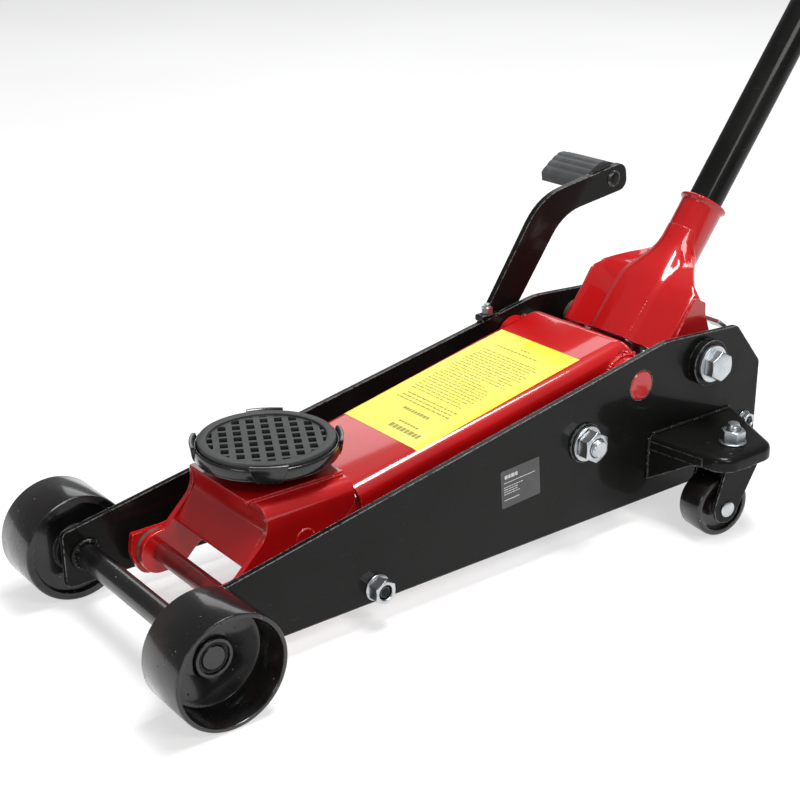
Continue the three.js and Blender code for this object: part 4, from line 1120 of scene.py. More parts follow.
class JACK_OT_lift_arm(JackOperator, bpy.types.Operator):
    """Lift arm: a tapered channel with rolled edges, its tubes, ears, shaft and welds"""

    bl_idname = "jack.lift_arm"
    bl_label = "Lift arm"

    def section(self, u, low):
        """The channel's wall at one place along the arm, as a closed ring."""
        half = arm_half_width(u)
        top = arm_top(u)

        def side_path(inset, bottom):
            path = [(-half + inset, bottom)]
            r = ARM_CORNER - inset
            for k in range(9):
                a = math.pi / 2 * k / 8
                path.append((-half + inset + r * (1 - math.cos(a)), top - inset - r * (1 - math.sin(a))))
            return path

        outer, inner = side_path(0, low), side_path(ARM_WALL, low)
        ring = outer + [(-y, v) for y, v in reversed(outer)]
        back = inner + [(-y, v) for y, v in reversed(inner)]
        return [Vector((u, y, v)) for y, v in ring + back[::-1]]

    def execute(self, context):
        end = NOSE_U + NOSE_TUBE_R

        def low(u):
            return ARM_LOW if u < TAPER_FROM else ARM_LOW + 5.6 * (u - TAPER_FROM) / (end - TAPER_FROM)

        roll = [ARM_REAR + ARM_ROLL - ARM_ROLL * math.sin(math.radians(t)) for t in range(84, -1, -12)]
        wide = roll + [TAPER_FROM, 100, 140, 180, 220, 250, WIDE_END]
        nose = (WIDE_END + 0.05, NOSE_U - 20, NOSE_U, end - 8, end - 3)
        shape = Shape(ARM)
        for stations in (wide, nose):
            shape.loft([self.section(u, low(u)) for u in stations])
        back = ARM_REAR + 4.6
        shape.prism([(ARM_REAR, ARM_LOW), (ARM_REAR, 13), (back, 13), (back, ARM_LOW)], -57.4, 57.4)
        for half in (1, -1):
            step = [(WIDE_END - 4, -2), (WIDE_END, -2), (WIDE_END, 16), (WIDE_END - 4, 16)]
            shape.prism(step, *spans(half, 45.6, 51.4))
        shape.rod(TUBE_R, -80, 80, "Y", (0, 0, 0), 80)
        shape.rod(NOSE_TUBE_R, -50.4, 50.4, "Y", (NOSE_U, 0, NOSE_V), 64)
        angle = math.radians(-127.5 + ARM_SLOPE)
        pin = (CRANK_R * math.cos(angle), CRANK_R * math.sin(angle))
        for side in SIDES.values():
            shape.prism(capsule((0, 0), pin, 19.9, 14, 28), *spans(side, 57.45, 62.55))
            shape.rod(PIN_R, *spans(side, 47.2, 61), "Y", (pin[0], 0, pin[1]))
        shape.done(
            "arm_channel", finish("red"), "lift_arm", "red_paint", ("lift_arm",),
            bevel=0.9, segments=3, smooth=35,
        )
        bead = Shape(ARM)
        for side in SIDES.values():
            turns = [math.radians(a) for a in range(-30, 211, 8)]
            around = TUBE_R + 0.6
            arc = [(around * math.cos(t), side * 63.6, around * math.sin(t)) for t in turns]
            bead.weld(arc, 2.6, 31 + side)
            bead.weld([(ARM_REAR + 3, side * 63.2, 16), (-2, side * 63.2, 24.5)], 1.9, 33 + side)
        bead.done("arm_welds", finish("red"), "lift_arm", "red_paint", bevel=0, dissolve=False)
        shaft = Shape(ARM).lathe(
            [(0, -86.8), (12, -86.8), (SHAFT_R, -85.9), (SHAFT_R, 85.9), (12, 86.8), (0, 86.8)],
            "Y", (0, 0, 0), 72,
        )
        shaft.done("arm_shaft", finish("red"), "lift_arm", "red_paint", ("arm_pivot_shaft",), bevel=0.25)
        return {"FINISHED"}


class JACK_OT_arm_label(JackOperator, bpy.types.Operator):
    """Large label that follows the top of the lift arm, with generic lines of print"""

    bl_idname = "jack.arm_label"
    bl_label = "Arm label"

    def film(self, shape, u0, u1, y0, y1, lift, thick, cell=6.0):
        """A thin film laid on the arm's skin."""
        across = max(1, round((y1 - y0) / cell)) if y1 - y0 > cell else 1
        along = max(1, round((u1 - u0) / 30))
        rings = []
        for i in range(along + 1):
            u = u0 + (u1 - u0) * i / along
            ys = [y0 + (y1 - y0) * k / across for k in range(across + 1)]
            ring = [Vector((u, y, arm_top(u, y) + lift)) for y in ys]
            ring += [Vector((u, y, arm_top(u, y) + lift + thick)) for y in reversed(ys)]
            rings.append(ring)
        shape.loft(rings)

    def execute(self, context):
        shape = Shape(ARM)
        self.film(shape, 34.7, 215.3, -50.75, 50.75, 0.05, 0.12, 2.0)
        shape.done("arm_label_film", finish("sticker"), "lift_arm", "red_paint", bevel=0, dissolve=False)
        draw = random.Random(19)
        words = Shape(ARM)

        def line(u, height, y_start, y_end, low, high, gap):
            y = y_start
            while y < y_end - low:
                width = min(draw.uniform(low, high), y_end - y)
                self.film(words, u, u + height, y, y + width, 0.19, 0.04)
                y += width + gap

        line(199, 5.6, -2, 38, 3.0, 4.6, 1.1)
        line(192.5, 2.2, 0, 26, 2.0, 5.0, 0.9)
        line(176, 3.6, -14, 22, 2.4, 3.6, 0.9)
        for row in range(3):
            line(167 - row * 4.4, 1.5, -36 + row * 2, 34, 2.0, 6.5, 1.2)
        for row in range(22):
            indent = draw.uniform(-40, -36)
            last = draw.uniform(2, 36) if draw.random() < 0.35 else draw.uniform(28, 38)
            line(150 - row * 3.9, 1.15, indent, last, 1.6, 7.0, 1.1)
        line(57, 1.5, -30, 24, 2.0, 5.0, 1.2)
        line(51, 1.5, -6, 6, 2.0, 4.0, 1.2)
        words.done("arm_label_print", finish("grey_ink"), "lift_arm", "red_paint", bevel=0, dissolve=False)
        return {"FINISHED"}


def meet(solid, tool):
    """Keeps only what two Shapes share, both in the same frame."""
    made = []
    for shape in (solid, tool):
        bmesh.ops.remove_doubles(shape.mesh, verts=shape.mesh.verts, dist=1e-4)
        bmesh.ops.recalc_face_normals(shape.mesh, faces=shape.mesh.faces)
        data = bpy.data.meshes.new("cutting")
        shape.mesh.to_mesh(data)
        piece = bpy.data.objects.new("cutting", data)
        bpy.context.scene.collection.objects.link(piece)
        made.append(piece)
    cut = made[0].modifiers.new("cut", "BOOLEAN")
    cut.operation, cut.object, cut.solver = "INTERSECT", made[1], "EXACT"
    bpy.context.view_layer.update()
    result = bpy.data.meshes.new_from_object(made[0].evaluated_get(bpy.context.evaluated_depsgraph_get()))
    if not result.polygons:
        raise RuntimeError("the two shapes share nothing")
    solid.mesh.clear()
    solid.mesh.from_mesh(result)
    for piece in made:
        bpy.data.objects.remove(piece)
    return solid


class JACK_OT_saddle_support(JackOperator, bpy.types.Operator):
    """Bent channel under the saddle, with its front web, top plate, shaft and welds"""

    bl_idname = "jack.saddle_support"
    bl_label = "Saddle support"

    def execute(self, context):
        (dx, dz), (cx, cz) = LINK_ROD, FRONT_PIVOT
        top, rear, front, half, sheet = 112.0, -165.0, -83.0, 57.5, 5.5
        cheek = rounded(
            [
                (rear, top), (front, top), (front - 2, top - 22, 22), (dx - 3, dz + 19, 8),
                (dx + 18, dz + 18, 17), (dx + 18, dz - 18, 17), (dx - 18, dz - 18, 12),
                (cx + 12, cz - 18, 20), (cx - 14, cz - 18, 12), (rear, top - 20, 6),
            ]
        )

        def bent(inset):
            h, t, r = half - inset, top - inset, 11 - inset
            return rounded([(-h, 0), (-h, t, r), (h, t, r), (h, 0)], 6)

        outer, inner = bent(0), bent(sheet)
        channel = Shape().prism(outer + inner[::-1], rear - 2, dx + 60, "YZ")
        channel = meet(channel, Shape().prism(cheek, -80, 80))
        channel.done(
            "saddle_channel", finish("red"), "saddle_support", "red_paint", ("saddle_support",),
            bevel=0.9, segments=3, smooth=35, limit=40,
        )
        web = rounded(
            [
                (front - 1.5, top - 2), (front - 2.2, top - 20, 14), (dx - 13.5, top - 46.5, 2),
                (dx - 16.8, top - 48.8, 2), (front - 6.4, top - 22, 10), (front - 5, top - 2),
            ]
        )
        shape = Shape().prism(web, -51.8, 51.8)
        shape.done("saddle_web", finish("red"), "saddle_support", "red_paint", bevel=0.6, smooth=50)
        cap = rounded([(rear, -43, 2), (front + 7, -43, 2), (front + 7, 43, 2), (rear, 43, 2)])
        Shape().prism(cap, top + 0.05, top + 3.2, "XY").done(
            "saddle_seat_plate", finish("red"), "saddle_support", "red_paint", bevel=0.8, segments=3
        )
        bead = Shape()
        for side in SIDES.values():
            bead.weld(
                [(rear + 2, side * 43.4, top + 0.9), (front + 4, side * 43.4, top + 0.9)], 1.3, 41 + side
            )
            edge = [
                (front - 6.8, side * 51.4, top - 6), (front - 8, side * 51.4, top - 22),
                (dx - 19, side * 51.4, top - 47),
            ]
            bead.weld(edge, 2.0, 45 + side)
        bead.done("saddle_welds", finish("red"), "saddle_support", "red_paint", bevel=0, dissolve=False)
        pin = Shape()
        profile = [
            (0, -58.6), (8, -58.6), (8.8, -58), (8.8, -57.7), (8, -57.7), (8, 57.7), (8.8, 57.7),
            (8.8, 58), (8, 58.6), (0, 58.6),
        ]
        pin.lathe(profile, "Y", (cx, 0, cz), 56)
        pin.done("support_pin", finish("red"), "saddle_support", "red_paint", ("support_shaft",), bevel=0.3)
        return {"FINISHED"}


def clipped(polygon, radius):
    """A polygon cut to a circle round the origin."""
    out = list(polygon)
    for k in range(48):
        normal = Vector((math.cos(2 * math.pi * k / 48), math.sin(2 * math.pi * k / 48)))
        kept = []
        for i, p in enumerate(out):
            q = out[(i + 1) % len(out)]
            dp, dq = p.dot(normal) - radius, q.dot(normal) - radius
            if dp <= 0:
                kept.append(p)
            if (dp < 0) != (dq < 0) and abs(dp - dq) > 1e-9:
                kept.append(p.lerp(q, dp / (dp - dq)))
        out = kept
        if len(out) < 3:
            return []
    tidy = [p for i, p in enumerate(out) if (p - out[i - 1]).length > 0.05]
    return tidy if len(tidy) > 2 else []


def area_of(polygon):
    return abs(sum(p.x * q.y - q.x * p.y for p, q in zip(polygon, polygon[1:] + polygon[:1]))) / 2


LUG_TURN = -31
LUGS = (  # height, inner and outer radius, half width
    (126.8, 55.2, 57.6, 9.5), (131, 55.2, 59.0, 11.5), (137, 55.6, 60.0, 14), (140.4, 56.8, 60.4, 15.2),
    (141.3, 58, 60, 15),
)
PAD_TURN, PAD_SHIFT = 62, Vector((-1.6, -1.9))
POCKET_STRETCH = 1.3


class JACK_OT_saddle(JackOperator, bpy.types.Operator):
    """Saddle: a tray with four lugs, and its rubber pad with its lattice of pockets"""

    bl_idname = "jack.saddle"
    bl_label = "Saddle and pad"

    def execute(self, context):
        profile = [
            (0, 99.6), (11, 99.6), (12, 100.6), (12, 115.5), (24, 115.5), (27, 116.2), (40, 119.6),
            (54, 126.2), (56.6, 127.6), (57.5, 129.4), (57.5, 136.4), (56.8, 137.7), (55.6, 138),
            (54.9, 137.4), (54.9, 131), (0, 131),
        ]
        tray = Shape(SADDLE).lathe(profile, "Z", (0, 0, 0), 144)
        for quarter in range(4):
            mid = math.radians(LUG_TURN + 90 * quarter)
            rings = []
            for z, inner, outer, half in LUGS:
                outline = []
                for r, sweep in ((outer, 1), (inner, -1)):
                    for k in range(-5, 6):
                        a = mid + sweep * k / 5 * half / r
                        outline.append(Vector((r * math.cos(a), r * math.sin(a), z)))
                rings.append(outline)
            tray.loft(rings)
        tray.done(
            "saddle_cup", finish("cast"), "saddle", "black_cast", ("saddle_tray",),
            bevel=0.5, segments=3, smooth=42,
        )
        self.pad()
        return {"FINISHED"}

    def pad(self):
        pitch, width = sizes().pocket_pitch / MM, sizes().pocket / MM
        length = width * POCKET_STRETCH
        inner_r, floor, low, top = 46.8, 131.35, 133.6, 139.3
        turn = Matrix.Rotation(math.radians(PAD_TURN), 2)
        quarters = ((-1, -1), (1, -1), (1, 1), (-1, 1))
        holes = []
        for i in range(-5, 6):
            for j in range(-5, 6):
                centre = turn @ Vector((i * pitch, j * pitch)) + PAD_SHIFT
                pocket = [centre + turn @ Vector((a * length / 2, b * width / 2)) for a, b in quarters]
                pocket = clipped(pocket, inner_r - 0.4)
                if pocket and area_of(pocket) > 5:
                    holes.append(pocket)
        face = Shape(SADDLE).prism(circle(0, 0, inner_r, 120), low, top, "XY", holes)
        face.done(
            "saddle_pad_lattice", finish("pad"), "saddle", "rubber", bevel=0.35, segments=2, dissolve=False
        )
        body = Shape(SADDLE).lathe(
            [
                (0, floor), (53.4, floor), (54.2, 132.2), (54.2, 140.4), (53.6, 141.2), (52.8, 141.4),
                (47.8, 141.4), (46.9, 141), (46.8, 140.2), (46.8, low - 0.05), (0, low - 0.05),
            ],
            "Z", (0, 0, 0), 144,
        )
        body.done("saddle_pad_body", finish("pad"), "saddle", "rubber", ("saddle_pad",), bevel=0.2)


class JACK_OT_radius_links(JackOperator, bpy.types.Operator):
    """Radius links that keep the saddle level, with their rod and spacer rings"""

    bl_idname = "jack.radius_links"
    bl_label = "Radius links"

    def execute(self, context):
        outline = rounded(
            [
                (-33, 58, 2), (-30.5, 42, 16), (-38, 20.2, 13), (-56, 19.8, 14), (-84, 31.5, 20),
                (-352, 74.9, 20), (-377.3, 75, 6), (-404, 79.3, 19), (-397.9, 116.8, 19),
                (-371.3, 112.5, 6), (-346, 104.3, 16), (-62, 58.3, 8),
            ]
        )
        for name, side in SIDES.items():
            shape = Shape().prism(
                outline, *spans(side, 64, 69), holes=[circle(*LINK_ROD, 8.2), circle(*LINK_PIVOT, 8.2)]
            )
            shape.done(
                f"link_{name}", finish("red"), "radius_links", "red_paint", (f"radius_link_{name}",),
                bevel=0.9, segments=3,
            )
            ring = Shape().ring(17, 8.2, *spans(side, 57.9, 63.8), "Y", (LINK_ROD[0], 0, LINK_ROD[1]))
            ring.done(f"link_spacer_ring_{name}", finish("brown"), "radius_links", "steel", bevel=0.5)
        profile = [
            (0, -72.6), (10, -72.6), (11, -71.6), (11, -69.3), (8, -69.3), (8, 69.3), (11, 69.3),
            (11, 71.6), (10, 72.6),
            (0, 72.6),
        ]
        rod = Shape().lathe(profile, "Y", (LINK_ROD[0], 0, LINK_ROD[1]), 64)
        rod.done("link_front_rod", finish("oxide"), "radius_links", "red_paint", ("link_rod",), bevel=0.25)
        return {"FINISHED"}


class JACK_OT_power_unit(JackOperator, bpy.types.Operator):
    """Base plate, pump block, reservoir cylinder, ram, pull bars and springs"""

    bl_idname = "jack.power_unit"
    bl_label = "Power unit"

    def execute(self, context):
        base = rounded([(-560, -81, 4), (-465, -81, 4), (-465, 81, 4), (-560, 81, 4)])
        Shape().prism(base, 21, 26, "XY").done(
            "floor_plate", finish("black"), "frame", "black_paint", ("base_plate",), bevel=0.7
        )
        screws = Shape()
        for x in (-552, -473):
            for y in (-66, 66):
                hex_body(screws, "Z", (x, y, 0), 13, 26.05, 32.5)
                screws.rod(7.6, 26.02, 26.9, "Z", (x, y, 0))
        screws.done("floor_plate_screws", finish("zinc"), "frame", "zinc", bevel=0.3)
        self.block()
        self.cylinder()
        self.ram()
        self.pump()
        return {"FINISHED"}

    def block(self):
        body = rounded([(-44, 26.3, 3), (44, 26.3, 3), (44, 82, 6), (-44, 82, 6)])
        shape = Shape().prism(body, -545, -470, "YZ")
        shape.rod(11, -530, -478, "X", (0, PEDAL_PUMP_Y, PEDAL_PIN[1]))
        saddle = [(-42, 78), (-20, 78), (-20, PEDAL_PIN[1]), (-42, PEDAL_PIN[1])]
        shape.prism(saddle, -529.9, -478.1, "YZ")
        shape.done(
            "pump_block", finish("black"), "frame", "black_paint", ("power_unit_block",), bevel=1.0,
            segments=3,
        )
        boss = Shape(PUMP).lathe(
            [(7.3, 30), (12.6, 30), (14, 31.4), (14, 58), (7.3, 58)], "Z", (0, 0, 0), 64
        )
        boss.done("pump_boss", finish("black"), "frame", "black_paint", bevel=0.5)
        lip = Shape(PUMP).ring(10.2, 7.35, 29.3, 30.1, "Z")
        lip.done("pump_seal", finish("grip"), "frame", "rubber", bevel=0.2)
        plug = Shape()
        for y in (-22, 6, 26):
            hex_body(plug, "X", (0, y, 44), 14, -545.05, -550.5)
            plug.ring(8.6, 5, -546.2, -545.02, "X", (0, y, 44))
        plug.done("valve_plugs", finish("zinc"), "frame", "zinc", bevel=0.35)
        filler = Shape()
        hex_body(filler, "Z", (-482, 0, 0), 13, 83.5, 87.5)
        filler.ring(8.5, 4, 82.02, 83.6, "Z", (-482, 0, 0))
        filler.done("filler_plug", finish("zinc"), "frame", "zinc", bevel=0.3)

    def cylinder(self):
        profile = [
            (13.6, -469.6), (30.5, -469.6), (31.8, -468.2), (31.8, -462), (30.6, -460.5), (30.6, -322),
            (31.8, -320), (31.8, -311.5), (30.6, -310.1), (13.6, -310.1),
        ]
        Shape().lathe(profile, "X", (0, 0, RAM_Z), 96).done(
            "reservoir_tube", finish("black"), "frame", "black_paint", ("reservoir_cylinder",), bevel=0.3
        )
        gland = Shape()
        hex_body(gland, "X", (0, 0, RAM_Z), 44, -309.6, -299.8, 12.4)
        gland.done("gland_nut", finish("steel"), "frame", "steel", ("ram_gland",), bevel=0.4)

    def ram(self):
        bar = [(0, -440), (12, -440), (12, -297.2), (11.2, -296.4), (0, -296.4)]
        rod = Shape().lathe(bar, "X", (0, 0, RAM_Z), 72)
        rod.done("ram_bar", finish("chrome"), "ram", "hard_chrome", ("ram_rod",), bevel=0.2)
        head = rounded([(-47.4, 46, 3), (47.4, 46, 3), (47.4, 70, 3), (-47.4, 70, 3)])
        cross = Shape().prism(head, -296, -278, "YZ")
        cross.done("ram_beam", finish("steel"), "ram", "steel", ("ram_crosshead",), bevel=0.9, segments=3)
        nut = Shape()
        hex_body(nut, "X", (0, 0, RAM_Z), 24, -277.95, -268, 8, both=True)
        thread(nut, "X", (0, 0, RAM_Z), 7.9, -278, -266, 2.0)
        nut.done("ram_nut", finish("zinc"), "ram", "zinc", bevel=0.35)
        crank_x, crank_z = -496.70, 66.93
        low = ARM_PIVOT[1] - CRANK_R
        bar = rounded(
            [
                (-274, 46, 5), (-274, 70, 5), (crank_x + 32, 70, 8), (crank_x + 16, 84, 5),
                (crank_x - 16, 84, 8), (crank_x - 16, 34, 8), (crank_x + 16, 34, 5),
                (crank_x + 32, 46, 8),
            ]
        )
        slot = capsule((crank_x, low), (crank_x, crank_z), 9.81, 9.8, 20)
        stretch = ("frame", "ram", CHASSIS @ Vector((-460, 0, 62)), CHASSIS @ Vector((-302, 0, 62)))
        for name, side in SIDES.items():
            Shape().prism(bar, *spans(side, 47.8, 53.3), holes=[slot]).done(
                f"pull_plate_{name}", finish("steel"), "ram", "steel", (f"pull_bar_{name}",), bevel=0.8
            )
            bolt = Shape()
            hex_body(bolt, "Y", (-287, 0, RAM_Z), 13, side * 53.35, side * 56.6)
            bolt.done(f"pull_bolt_{name}", finish("zinc"), "ram", "zinc", bevel=0.3)
            coil = Shape()
            helix(coil, (-466, side * 40.3, 62), (1, 0, 0), 4.8, 166, 1.25, 44, 14, 7)
            coil.done(
                f"return_coil_{name}", finish("spring"), stretch, "steel", (f"return_spring_{name}",),
                bevel=0, dissolve=False, smooth=80,
            )

    def pump(self):
        plunger = Shape(PUMP).lathe(
            [(0, 0), (9.8, 0), (11, 1), (11, 3.2), (10.2, 4), (7, 4), (7, 41), (6.4, 41.8), (0, 41.8)],
            "Z", (0, 0, 0), 64,
        )
        plunger.done(
            "plunger", finish("chrome"), "pump_plunger", "hard_chrome", ("pump_plunger",), bevel=0.2
        )
        coil = Shape(PUMP)
        helix(coil, (0, 0, 4.1), (0, 0, 1), 8.8, 25.0, 1.15, 6.5, 28, 8)
        start, end = PUMP @ Vector((0, 0, 4.5)), PUMP @ Vector((0, 0, 29))
        coil.done(
            "plunger_coil", finish("spring"), ("pump_plunger", "frame", start, end), "steel",
            ("plunger_spring",), bevel=0, dissolve=False, smooth=80,
        )
        roller = Shape().lathe(
            [(5.3, 15.1), (9.2, 15.1), (10, 15.9), (10, 32.1), (9.2, 32.9), (5.3, 32.9)], "Y",
            (ROLLER_AT[0], 0, ROLLER_AT[1]), 64,
        )
        roller.done("roller", finish("steel"), "pump_roller", "steel", ("pump_roller",), bevel=0.2)
        spindle = Shape().lathe(
            [
                (0, 68.5), (4.7, 68.5), (4.7, 115.5), (9, 118), (9, 130.3), (8.4, 131), (6.9, 131),
                (6.9, 126.6), (0, 125),
            ],
            "Z", (SOCKET_PIVOT[0], 0, 0), 48,
        )
        spindle.done(
            "release_screw", finish("steel"), "release_spindle", "steel", ("release_spindle",), bevel=0.3
        )


class JACK_OT_socket(JackOperator, bpy.types.Operator):
    """Handle socket: pressed hood, cheeks, roller pin, collar and stop tab"""

    bl_idname = "jack.handle_socket"
    bl_label = "Handle socket"

    def execute(self, context):
        hood = Shape(SOCKET)
        stations = [
            (-12, 66, 30, 36, 20, 0), (10, 66, 29.6, 35, 20, 0), (30, 66, 29, 33, 20, 0),
            (47, 66, 28, 31, 20, 0), (55, 57.5, 26.8, 30, 19.6, 0.06), (63, 49, 25.4, 28.6, 19.2, 0.16),
            (71, 40.6, 23.8, 27, 19, 0.32), (79, 32.2, 22, 25, 18, 0.55), (87, 24.5, 20.5, 23, 16, 0.8),
            (95, 19.6, 19, 21, 14, 1), (108, 17, 18, 20, 9, 1),
        ]
        rings = []
        for along, half, edge_n, mid_n, band, wrap in stations:
            face = []
            for k in range(-24, 25):
                y = half * k / 24
                # the band's ridges are kept sharp so that the red paint's pink edge patches, partly a
                # painted highlight, fall along them
                over = min(max((abs(y) - band) / max(half - band, 1) * 6, 0), 1)
                n = mid_n + (edge_n - mid_n) * (over * over * (3 - 2 * over))
                if half > 60 and abs(y) > half - 7:
                    n -= 7 - math.sqrt(max(0, 49 - (abs(y) - half + 7) ** 2))
                n += (math.sqrt(max(0, 20.7**2 - y * y)) - n) * wrap
                face.append((n, y))
            back = [(n - 4 + 1.6 * wrap, y * 0.98) for n, y in reversed(face)]
            rings.append([Vector((n, y, along)) for n, y in face + back])
        hood.loft(rings)
        cheek = rounded(
            [
                (24, -11, 3), (26, 45, 3), (11, 48, 3), (4, 40, 6), (-22, 23, 8), (-40, 16, 5),
                (-40, -10, 9), (-6, -26, 14), (16, -24, 10),
            ]
        )
        for side in SIDES.values():
            hood.prism(cheek, *spans(side, 62, 66), holes=[circle(0, 0, 9.3)])
        hood.done(
            "socket_shell", finish("red"), "handle_socket", "red_paint", ("handle_socket",),
            bevel=1.0, segments=3, smooth=38,
        )
        collar = Shape(SOCKET).lathe(
            [
                (16.3, 86), (20, 86), (20, 134), (20.6, 136), (22.2, 137.6), (22.8, 138.6), (22.8, 139.8),
                (22, 140.5), (17.2, 140.5), (16.3, 139.6),
            ],
            "Z", (0, 0, 0), 96,
        )
        collar.done("socket_collar_tube", finish("red"), "handle_socket", "red_paint", bevel=0.3)
        bead = Shape(SOCKET)
        for y in (-21.5, 21.5):
            bead.weld([(33.2, y, -8), (32.4, y, 12), (31.4, y, 30)], 1.5, 53 + round(y))
        bead.weld([(4, 19.6, 86.4), (10, 17.6, 86.2), (14, 14.4, 86)], 1.5, 52)
        bead.done("socket_welds", finish("red"), "handle_socket", "red_paint", bevel=0, dissolve=False)
        turn = ROLLER_ANGLE - math.radians(90 - HANDLE_LEAN)
        pin = Shape(SOCKET)
        pin.rod(5, -65.6, 65.6, "Y", (ROLLER_ARM * math.cos(turn), 0, ROLLER_ARM * math.sin(turn)))
        pin.done("roller_pin", finish("steel"), "handle_socket", "steel", bevel=0.6)
        tab = Shape(SOCKET)
        tab.prism(rounded([(-18, 37, 1), (-4, 37, 1), (-4, 40.6, 1), (-18, 40.6, 1)]), 60, 77)
        tab.done("socket_stop_tab", finish("zinc"), "handle_socket", "zinc", bevel=0.5)
        return {"FINISHED"}


class JACK_OT_handle(JackOperator, bpy.types.Operator):
    """Two-piece tube handle with its grip, and the rod that turns the release"""

    bl_idname = "jack.handle"
    bl_label = "Handle"

    def execute(self, context):
        lower = Shape(SOCKET).lathe(
            [
                (14, 64.6), (14.6, 64), (15.4, 64), (16, 64.6), (16, 599.2), (15.3, 600), (14.6, 600),
                (14, 599.4),
            ],
            "Z", (0, 0, 0), 96,
        )
        lower.done(
            "handle_tube_lower", finish("black"), "handle", "black_paint", ("handle_lower",), bevel=0
        )
        upper = Shape(SOCKET).lathe(
            [(11.7, 560), (13.7, 560), (13.7, 600.3), (16, 600.3), (16, 1150), (11.7, 1150)],
            "Z", (0, 0, 0), 96,
        )
        upper.done(
            "handle_tube_upper", finish("black"), "handle", "black_paint", ("handle_upper",), bevel=0.2
        )
        profile = [(16.3, 1015), (18, 1015), (19, 1017)]
        z = 1022.0
        while z < 1144:
            profile += [(19, z), (18.2, z + 0.8), (18.2, z + 2.4), (19, z + 3.2)]
            z += 6.4
        profile += [(19, 1152), (17.2, 1154.4), (15, 1155), (0, 1155)]
        sleeve = Shape(SOCKET).lathe([(0, 1150.4), (16.3, 1150.4)] + profile, "Z", (0, 0, 0), 96)
        sleeve.done("handle_sleeve", finish("grip"), "handle", "rubber", ("handle_grip",), bevel=0.2)
        rod = Shape(SOCKET).lathe(
            [(0, -6), (3.2, -5.1), (5.3, -2.9), (6, 0), (5.4, 2.6), (4.5, 4.2), (4.5, 67), (0, 67)],
            "Z", (0, 0, 0), 48,
        )
        rod.rod(13.7, 67.1, 78.9, "Z", (0, 0, 0), 64)
        rod.done("release_rod", finish("steel"), "handle", "steel", ("release_drive_rod",), bevel=0.3)
        return {"FINISHED"}


